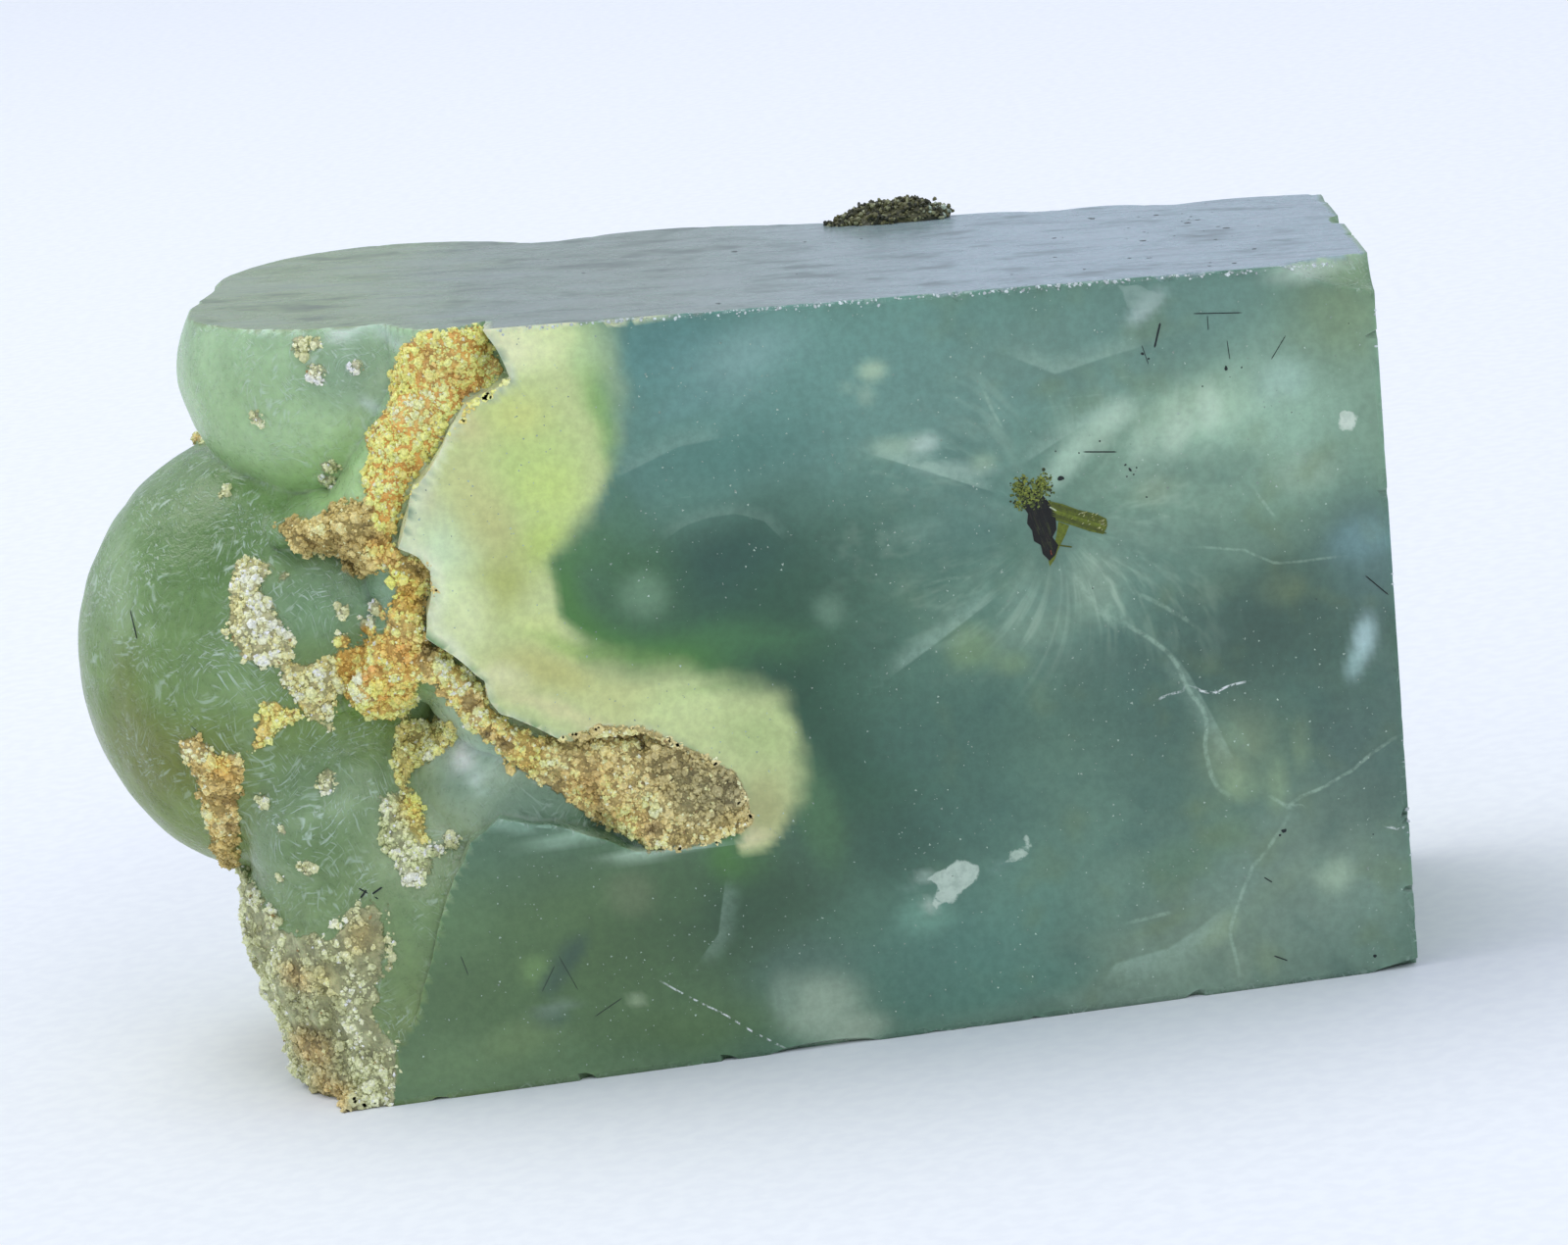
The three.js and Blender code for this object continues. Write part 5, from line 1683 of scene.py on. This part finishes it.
RUSTY_CHIP, PALE_GLINT_CHIP = (120, 62, 36), (176, 186, 150)
# The prism's middle rib, and how widely the others spread at its start and its end, in picture pixels.
RIB_START, RIB_END, RIBS_APART = (1071, 519), (1129, 537), (7, 8)
# Where the prism's dots and the wedge's streaks begin, and how far on they go, in picture pixels.
DOTS_FROM, DOTS_ON = (1090, 524), (37, 11)
STREAKS_FROM, STREAKS_ON = (1053, 506), (18, 56)
# Twigs and chips by the prism: picture ends, width and thickness in mm, colour, shade, depth in mm. The pale
# chip at the prism's left end is a painted glint.
TWIGS = [
    ((1080, 556), (1094, 558), 0.1, 0.08, EPIDOTE_OLIVE, 0.8, -0.01),
    ((1072, 561), (1073, 566), 0.08, 0.06, RUSTY_CHIP, 1, -0.02),
    ((1071, 517), (1078, 521), 0.1, 0.05, PALE_GLINT_CHIP, 1, -0.02),
]
# The granular tuft over the wedge: picture place, spread in picture pixels, grains.
CUT_TUFT = [
    ((1042, 498), (4.5, 6), 230), ((1062, 496), (5, 5.5), 230), ((1052, 507), (9, 5), 200),
    ((1040, 514), (3, 3), 40),
]
CUT_TUFT_SHADES = ((104, 116, 40), (82, 96, 32), (136, 144, 56), (52, 62, 26), (118, 132, 60))
PRISM_RIBS, PRISM_DOTS, WEDGE_STREAKS = 7, 30, 90


def epidote_pieces(material):
    """The epidote caught in the front cut: a granular tuft, an olive prism, a dark wedge and twigs."""
    random = np.random.default_rng(73)
    made = Crystals()
    olive, dark = linear(EPIDOTE_OLIVE), linear(EPIDOTE_DARK)
    yellow, pale = linear(EPIDOTE_YELLOW), linear(EPIDOTE_PALE)
    made.plate(WEDGE, dark)
    made.plate(PRISM, olive, proud=0.012)
    made.plate(BLADE, olive * 1.2, proud=0.016)
    for i in range(PRISM_RIBS):
        across = (i - PRISM_RIBS // 2) / 3.4
        tint = olive * (1.1 - 0.5 * abs(across)) * random.uniform(0.8, 1.3)
        start = (RIB_START[0], RIB_START[1] + across * RIBS_APART[0])
        end = (RIB_END[0] + random.uniform(-3, 1), RIB_END[1] + across * RIBS_APART[1])
        made.lie(start, end, 0.13, 0.06, tint)
    for _ in range(PRISM_DOTS):
        share = random.random() ** 0.45
        px = DOTS_FROM[0] + share * DOTS_ON[0]
        py = DOTS_FROM[1] + share * DOTS_ON[1] + random.uniform(-7, 7)
        end = (px + random.uniform(1, 3), py - random.uniform(1, 2))
        tint = yellow + random.random() * (pale - yellow)
        made.lie((px, py), end, 0.035, 0.03, tint, depth=-0.035)
    for _ in range(WEDGE_STREAKS):
        share = random.random() ** 0.8
        px = STREAKS_FROM[0] + share * STREAKS_ON[0] + random.uniform(-1, 1) * (12 - 8 * share)
        py = STREAKS_FROM[1] + share * STREAKS_ON[1]
        tint = linear(STREAK_SHADES[int(random.integers(len(STREAK_SHADES)))])
        made.lie((px - 1, py - 4), (px + 2, py + 4), 0.12, 0.06, tint * random.uniform(0.5, 1.6))
    for start, end, width, thick, rgb, shade, depth in TWIGS:
        made.lie(start, end, width, thick, linear(rgb) * shade, depth=depth)
    made.piece("epidote_inclusion", material, "epidote")
    tuft = []
    for at, spread, count in CUT_TUFT:
        tuft.append(on_front(np.array(at) + random.normal(size=(count, 2)) * spread))
    tuft = np.concatenate(tuft)
    centres = np.stack([tuft[:, 0], random.uniform(-0.02, 0.06, len(tuft)), tuft[:, 1]], -1)
    shades = linear(CUT_TUFT_SHADES)
    tints = shades[random.integers(len(shades), size=len(tuft))]
    grain_piece(
        "epidote_tuft_cut", random, centres, random.uniform(0.05, 0.11, len(tuft)), tints,
        material, -0.04,
    )


# The tuft on the top's back edge: its place and its half sizes in mm.
TUFT_AT, TUFT_REACH = (-24.8, 31.0, 43.9), (3.9, 1.4, 1.2)
TUFT_SHADES = ((72, 72, 48), (104, 102, 66), (52, 54, 38), (134, 136, 98), (158, 162, 128))
TUFT_MIX = (0.3, 0.28, 0.18, 0.18, 0.06)  # the share of the grains that takes each shade
TUFT_PALE, TUFT_PRISMS, TUFT_GRAINS = (176, 190, 168), 90, 1100
# How long, wide and thick the tuft's prisms are, from and to, in mm.
TUFT_PRISM_SIZES = ((0.4, 1.1), (0.14, 0.32), (0.14, 0.3))


def mound(at, reach):
    """A low lumpy mound whose foot goes down into the stone: points, faces and its unit shape."""
    around, rings = 84, 16
    turn = np.arange(around) / around * 2 * math.pi
    rise = np.linspace(-0.35, 0.94, rings)[:, None] * math.pi / 2
    unit = np.stack([
        np.cos(rise) * np.cos(turn), np.cos(rise) * np.sin(turn), np.sin(rise) + 0 * turn,
    ], -1).reshape(-1, 3)
    unit = np.concatenate([unit, [[0, 0, 1]]])
    shape = unit * reach
    points = shape * (1 + noise("tuft_form", shape))[:, None] + at
    faces, peak, last = band_faces(rings - 1, around), len(unit) - 1, (rings - 1) * around
    faces += [(peak, last + k, last + (k + 1) % around) for k in range(around)]
    return points, np.array(faces), unit


def top_tuft(material):
    """The olive-brown granular epidote on the top's back edge: a mound with crystals and grains on it."""
    random = np.random.default_rng(79)
    foot = np.array((TUFT_AT[0], TUFT_AT[1], top_at(TUFT_AT[0]) - 0.1))
    points, faces, unit = mound(foot, np.array(TUFT_REACH))
    shades = linear(TUFT_SHADES)
    share = smooth(-0.5, 0.6, noise("tuft_shade", points))[:, None]
    made = Crystals()
    made.add(points, faces, shades[2] + share * (shades[1] - shades[2]))
    upper = np.flatnonzero(unit[:, 2] > 0.0)
    for _ in range(TUFT_PRISMS):
        at = points[upper[int(random.integers(len(upper)))]]
        length, width, thick = (random.uniform(*span) for span in TUFT_PRISM_SIZES)
        stick, sides = prism(6, length, width, thick, 0.55)
        made.add(stick @ turns(random, 1)[0].T + at, sides, shades[int(random.integers(4))])
    made.piece("epidote_tuft", material, "epidote")
    n = TUFT_GRAINS
    centres = points[upper[random.integers(len(upper), size=n)]] + random.normal(0, 0.09, (n, 3))
    pale_end = smooth(1.8, 3.6, centres[:, 0] - foot[0]) * 0.5
    tints = shades[random.choice(len(shades), n, p=TUFT_MIX)]
    pale = random.random(n) < pale_end
    tints[pale] = linear(TUFT_PALE)
    grain_piece("epidote_grains", random, centres, random.uniform(0.06, 0.2, n), tints, material)


CRUST_FRONT = -0.012  # how far the crust's grains may stand before the front cut, in mm
CRUST_LUMPS, BACK_LUMPS = 3600, 1700
SUGAR_PER_LUMP, SUGAR_BETWEEN = 5, 3  # grains on each lump, and between lumps for each lump
SUGAR_ODD = (120, 98, 56)
CRUST_GREYER, CRUST_LIFT, CRUST_BRIGHTEST = 0.08, 2.12, 0.94


def lumpy_crust(random, name, points, quads, weight, count, low, high, material):
    """Lumps on these quads, and sugary grains on the lumps and between them."""
    place, normal = sample_faces(random, points, quads, weight, count)
    sizes = low + (high - low) * random.random(count) ** 2
    place += normal * (sizes * random.uniform(-0.7, 0.1, count))[:, None]
    share = np.clip(crust_lit_share(place) - 0.1 + 0.08 * random.normal(size=(count, 1)), 0, 1)
    tints = between(crust_shades(place), share)
    grain_piece(name + "_lumps", random, place, sizes, lit_crust(tints), material, CRUST_FRONT)

    on_lump = np.repeat(np.arange(count), SUGAR_PER_LUMP)
    out = random.normal(size=(len(on_lump), 3)) + 0.9 * normal[on_lump]
    out /= np.linalg.norm(out, axis=1, keepdims=True)
    on_lumps = place[on_lump] + out * sizes[on_lump, None] * 0.88
    between_lumps, skin_normal = sample_faces(random, points, quads, weight, count * SUGAR_BETWEEN)
    sugar = np.concatenate([
        on_lumps, between_lumps + skin_normal * random.uniform(-0.04, 0.05, (len(between_lumps), 1)),
    ])
    # Painted light and shade on the sugar: grains on a lump's upper side are paler, those facing into the
    # stone and those between the lumps darker.
    sugar_lit_share = np.concatenate([
        share[on_lump, 0] + 0.22 * out[:, 2] - 0.12 * out[:, 1] + 0.06,
        crust_lit_share(between_lumps)[:, 0] - 0.22,
    ])
    n = len(sugar)
    shades = crust_shades(sugar)
    tints = between(shades, np.clip(sugar_lit_share + 0.1 * random.normal(size=n), 0, 1)[:, None])
    odd = random.random(n)
    tints[odd < 0.01] = linear(SUGAR_ODD)
    pale = odd > 0.97
    tints[pale] = shades[pale, 2] * 1.1
    grain_piece(
        name + "_sugar", random, sugar, high * random.uniform(0.16, 0.42, n), lit_crust(tints),
        material, CRUST_FRONT, octahedron,
    )


def lit_crust(tints):
    """Crust colours as bare grains need them, to look as named once they shade each other."""
    pale = tints.mean(-1, keepdims=True)
    return np.clip((tints + CRUST_GREYER * (pale - tints)) * CRUST_LIFT, 0, CRUST_BRIGHTEST)


def crust_pieces(points, quads, material):
    """The crust on the front's patches, seen on the skin and through the cut, and in the crevices behind."""
    random = np.random.default_rng(53)
    centre = points[quads].mean(1)
    below_top = (centre[:, 2] > 0.1) & (centre[:, 2] < top_at(centre[:, 0]) - 0.05)
    ragged = noise("crust_edge", centre)
    rim = smooth(0.35, 0.0, np.abs(core_field.at(centre))) * left_of_pocket(centre[:, 0])
    rim = rim * (centre[:, 1] > 0.2)
    ahead = (
        np.clip(-crust_field.at(centre) * 4 + 0.5 + ragged - 3 * rim, 0, 1)
        * (centre[:, 1] < BEHIND) * (centre[:, 1] > 0.03) * below_top
    )
    first, second = nearest_lobes(centre)
    behind = (
        np.clip((back_crust(centre, second - first) - 0.45) * 4, 0, 1)
        * below_top * (centre[:, 2] < top_at(centre[:, 0]) - 1.2)
    )
    ahead *= 1 - 0.96 * low_bare(centre)
    lumpy_crust(random, "crust", points, quads, ahead, CRUST_LUMPS, 0.16, 0.38, material)
    lumpy_crust(random, "crust_behind", points, quads, behind, BACK_LUMPS, 0.2, 0.46, material)


# Shards on the top edge and on the right edge; how many on the top lie in knots, and how many knots.
GLINTS, SIDE_GLINTS, KNOTTED_GLINTS, GLINT_KNOTS = 1500, 60, 160, 22
GLINT_TINT = (222, 232, 228)
# Bunches of shards along the top edge: place and spread along x in mm, the first shard, and the
# one after the last.
GLINT_BUNCHES = [
    (-15, 0.5, 160, 186), (-13, 0.5, 186, 206), (-5.5, 0.4, 206, 220), (-38, 0.8, 220, 250),
    (-31, 0.7, 250, 270),
]


def glint_piece(material):
    """Tiny near-white shards along the top front edge and the right edge, where the saw crushed the stone;
    their pale colour is also a painted glint of light on the edge.
    """
    random = np.random.default_rng(61)
    n, m = GLINTS, KNOTTED_GLINTS
    x = random.uniform(-50, 0, n)
    x[:m] = random.choice(random.uniform(-50, 0, GLINT_KNOTS), m) + random.normal(0, 0.5, m)
    for centre, spread, start, stop in GLINT_BUNCHES:
        x[start:stop] = centre + random.normal(0, spread, stop - start)
    x = np.clip(x, -50, 0.5)
    fall = np.abs(random.normal(0, 0.15, n))
    places = np.stack([x, random.uniform(0.0, 0.12, n), top_at(x) - 0.02 - fall], -1)
    z = random.uniform(2, 43, SIDE_GLINTS)
    x = right_at(z) - 0.03 - np.abs(random.normal(0, 0.05, SIDE_GLINTS))
    side = np.stack([x, random.uniform(0.0, 0.08, SIDE_GLINTS), z], -1)
    places = np.concatenate([places, side])
    sizes = 0.02 + 0.12 * random.random(len(places)) ** 6
    tints = linear(GLINT_TINT) * random.uniform(0.6, 1.1, (len(places), 1))
    grain_piece("edge_glints", random, places, sizes, tints, material, -0.05)


# ---- putting it together --------------------------------------------------------------------
GRID_STEP = 0.4
GRID_X, GRID_Y, GRID_Z = (-80.4, 4.2), (-0.6, 40.6), (-0.6, 48.9)  # from and to
grid = [
    np.arange(*GRID_X, GRID_STEP, F32),
    growing(*GRID_Y, GRID_STEP, fine_until=5, coarse=0.9, rate=1.06),
    np.arange(*GRID_Z, GRID_STEP, F32),
]
stone_points, stone_quads = dual_contour(stone, grid)
corner = stone_points[stone_quads]
face_normals = np.cross(corner[:, 2] - corner[:, 0], corner[:, 3] - corner[:, 1])
point_normals = np.zeros_like(stone_points)
for k in range(4):
    for axis in range(3):
        point_normals[:, axis] += np.bincount(stone_quads[:, k], face_normals[:, axis], len(stone_points))
point_normals /= np.maximum(np.linalg.norm(point_normals, axis=1, keepdims=True), 1e-9)
stone_colors, stone_fields, stone_vectors = paint(stone_points, point_normals)
face_cut, face_ground = (stone_fields[name][stone_quads].mean(1) > 0.6 for name in ("polished", "ground"))
stone_materials = [skin_material(), cut_material(), ground_material()]
block = mesh_piece(
    "prehnite_stone", stone_points, stone_quads, stone_materials,
    flat=face_cut | face_ground, worn=face_cut + 2 * face_ground,
    colors=stone_colors, fields=stone_fields, vectors=stone_vectors,
)
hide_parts("prehnite_block")

crust_pieces(stone_points, stone_quads, grain_material("crust_grain", rough=0.7, ior=1.5))
epidote = grain_material("epidote", rough=0.42, ior=1.42)
epidote_pieces(epidote)
needle_piece(epidote)
dark_specks(epidote)
top_tuft(epidote)
# The near-white glass of the edge's shards and the cut's specks: crushed stone, and painted glints and
# sparkles of light.
glassy = grain_material("bruise_glint_and_sparkle_glass", rough=0.2, ior=1.6)
glint_piece(glassy)
specked = face_cut * stone_fields["specked"][stone_quads].mean(1)
pale_specks(stone_points, stone_quads, specked, glassy)

# ---- floor, light, camera -------------------------------------------------------------------
SENSOR = 36  # the camera's sensor width in mm
LAMP_AIM = (0, 0, 0.02)
CARD_DARK, CARD_PALE = (0.86, 0.88, 0.9, 1), (0.89, 0.91, 0.92, 1)
FLOOR_FIRST, FLOOR_GROWTH, FLOOR_RINGS, FLOOR_SECTORS = 0.05, 1.35, 15, 64
ROOM_COLOR, ROOM_STRENGTH = (0.79, 0.86, 1.04, 1), 0.72


def place_camera():
    """The photograph's camera: it looks down a little and is rolled, as the stone was held."""
    camera = bpy.data.objects.new("camera", bpy.data.cameras.new("camera"))
    camera.data.sensor_width = SENSOR
    camera.data.lens = FOCAL_PX / PICTURE_W * SENSOR
    camera.data.clip_start, camera.data.clip_end = 0.01, 50
    stand = Matrix(np.stack([CAM_RIGHT, CAM_UP, CAM_BACK], 1).tolist()).to_4x4()
    stand.translation = Vector(to_frame(CAM_AT))
    camera.matrix_world = stand
    scene.collection.objects.link(camera)
    scene.camera = camera


def soft_light(name, at, size, energy, color):
    """A round panel of light that faces the stone."""
    lamp = bpy.data.lights.new(name, "AREA")
    lamp.shape, lamp.size, lamp.energy, lamp.color = "DISK", size, energy, color
    made = bpy.data.objects.new(name, lamp)
    turn = (Vector(at) - Vector(LAMP_AIM)).to_track_quat("Z", "Y").to_matrix().to_4x4()
    made.matrix_world = Matrix.Translation(at) @ turn
    scene.collection.objects.link(made)


def floor_material():
    g = Graph("pale_card")
    speck = g.noise(g.p, 0.8, 2.0)
    color = g.mix(g.ramp(speck, 0.35, 0.65), CARD_DARK, CARD_PALE)
    g.plug(g.shader.inputs["Base Color"], color)
    g.plug(g.shader.inputs["Roughness"], g.spread(speck, 0.8, 0.9))
    return g.material


def lay_floor():
    """A wide sheet under the stone, in rings that widen outward."""
    rings = [FLOOR_FIRST * FLOOR_GROWTH**k for k in range(FLOOR_RINGS)]
    sectors = FLOOR_SECTORS
    points, faces = [(0.0, 0.0, 0.0)], []
    for r in rings:
        points += [
            (r * math.cos(2 * math.pi * k / sectors), r * math.sin(2 * math.pi * k / sectors), 0.0)
            for k in range(sectors)
        ]
    for k in range(sectors):
        faces.append((0, 1 + k, 1 + (k + 1) % sectors))
    for ring in range(len(rings) - 1):
        a, b = 1 + ring * sectors, 1 + (ring + 1) * sectors
        faces += [(a + k, b + k, b + (k + 1) % sectors, a + (k + 1) % sectors) for k in range(sectors)]
    mesh = bpy.data.meshes.new("floor")
    mesh.from_pydata(points, [], faces)
    mesh.materials.append(floor_material())
    floor = bpy.data.objects.new("floor", mesh)
    scene.collection.objects.link(floor)


place_camera()
lay_floor()
soft_light("sky_panel", at=(-0.45, 0.3, 1.15), size=1.1, energy=7.5, color=(1.0, 0.99, 0.96))
soft_light("front_panel", at=(0.4, -0.9, 0.8), size=0.7, energy=2.2, color=(1.0, 1.0, 1.0))
world = bpy.data.worlds.new("room")
world.use_nodes = True
world.node_tree.nodes["Background"].inputs[0].default_value = ROOM_COLOR
world.node_tree.nodes["Background"].inputs[1].default_value = ROOM_STRENGTH
scene.world = world
scene.view_settings.view_transform = "Standard"
scene.cycles.max_bounces, scene.cycles.diffuse_bounces, scene.cycles.glossy_bounces = 5, 3, 2
scene.cycles.caustics_reflective = scene.cycles.caustics_refractive = False
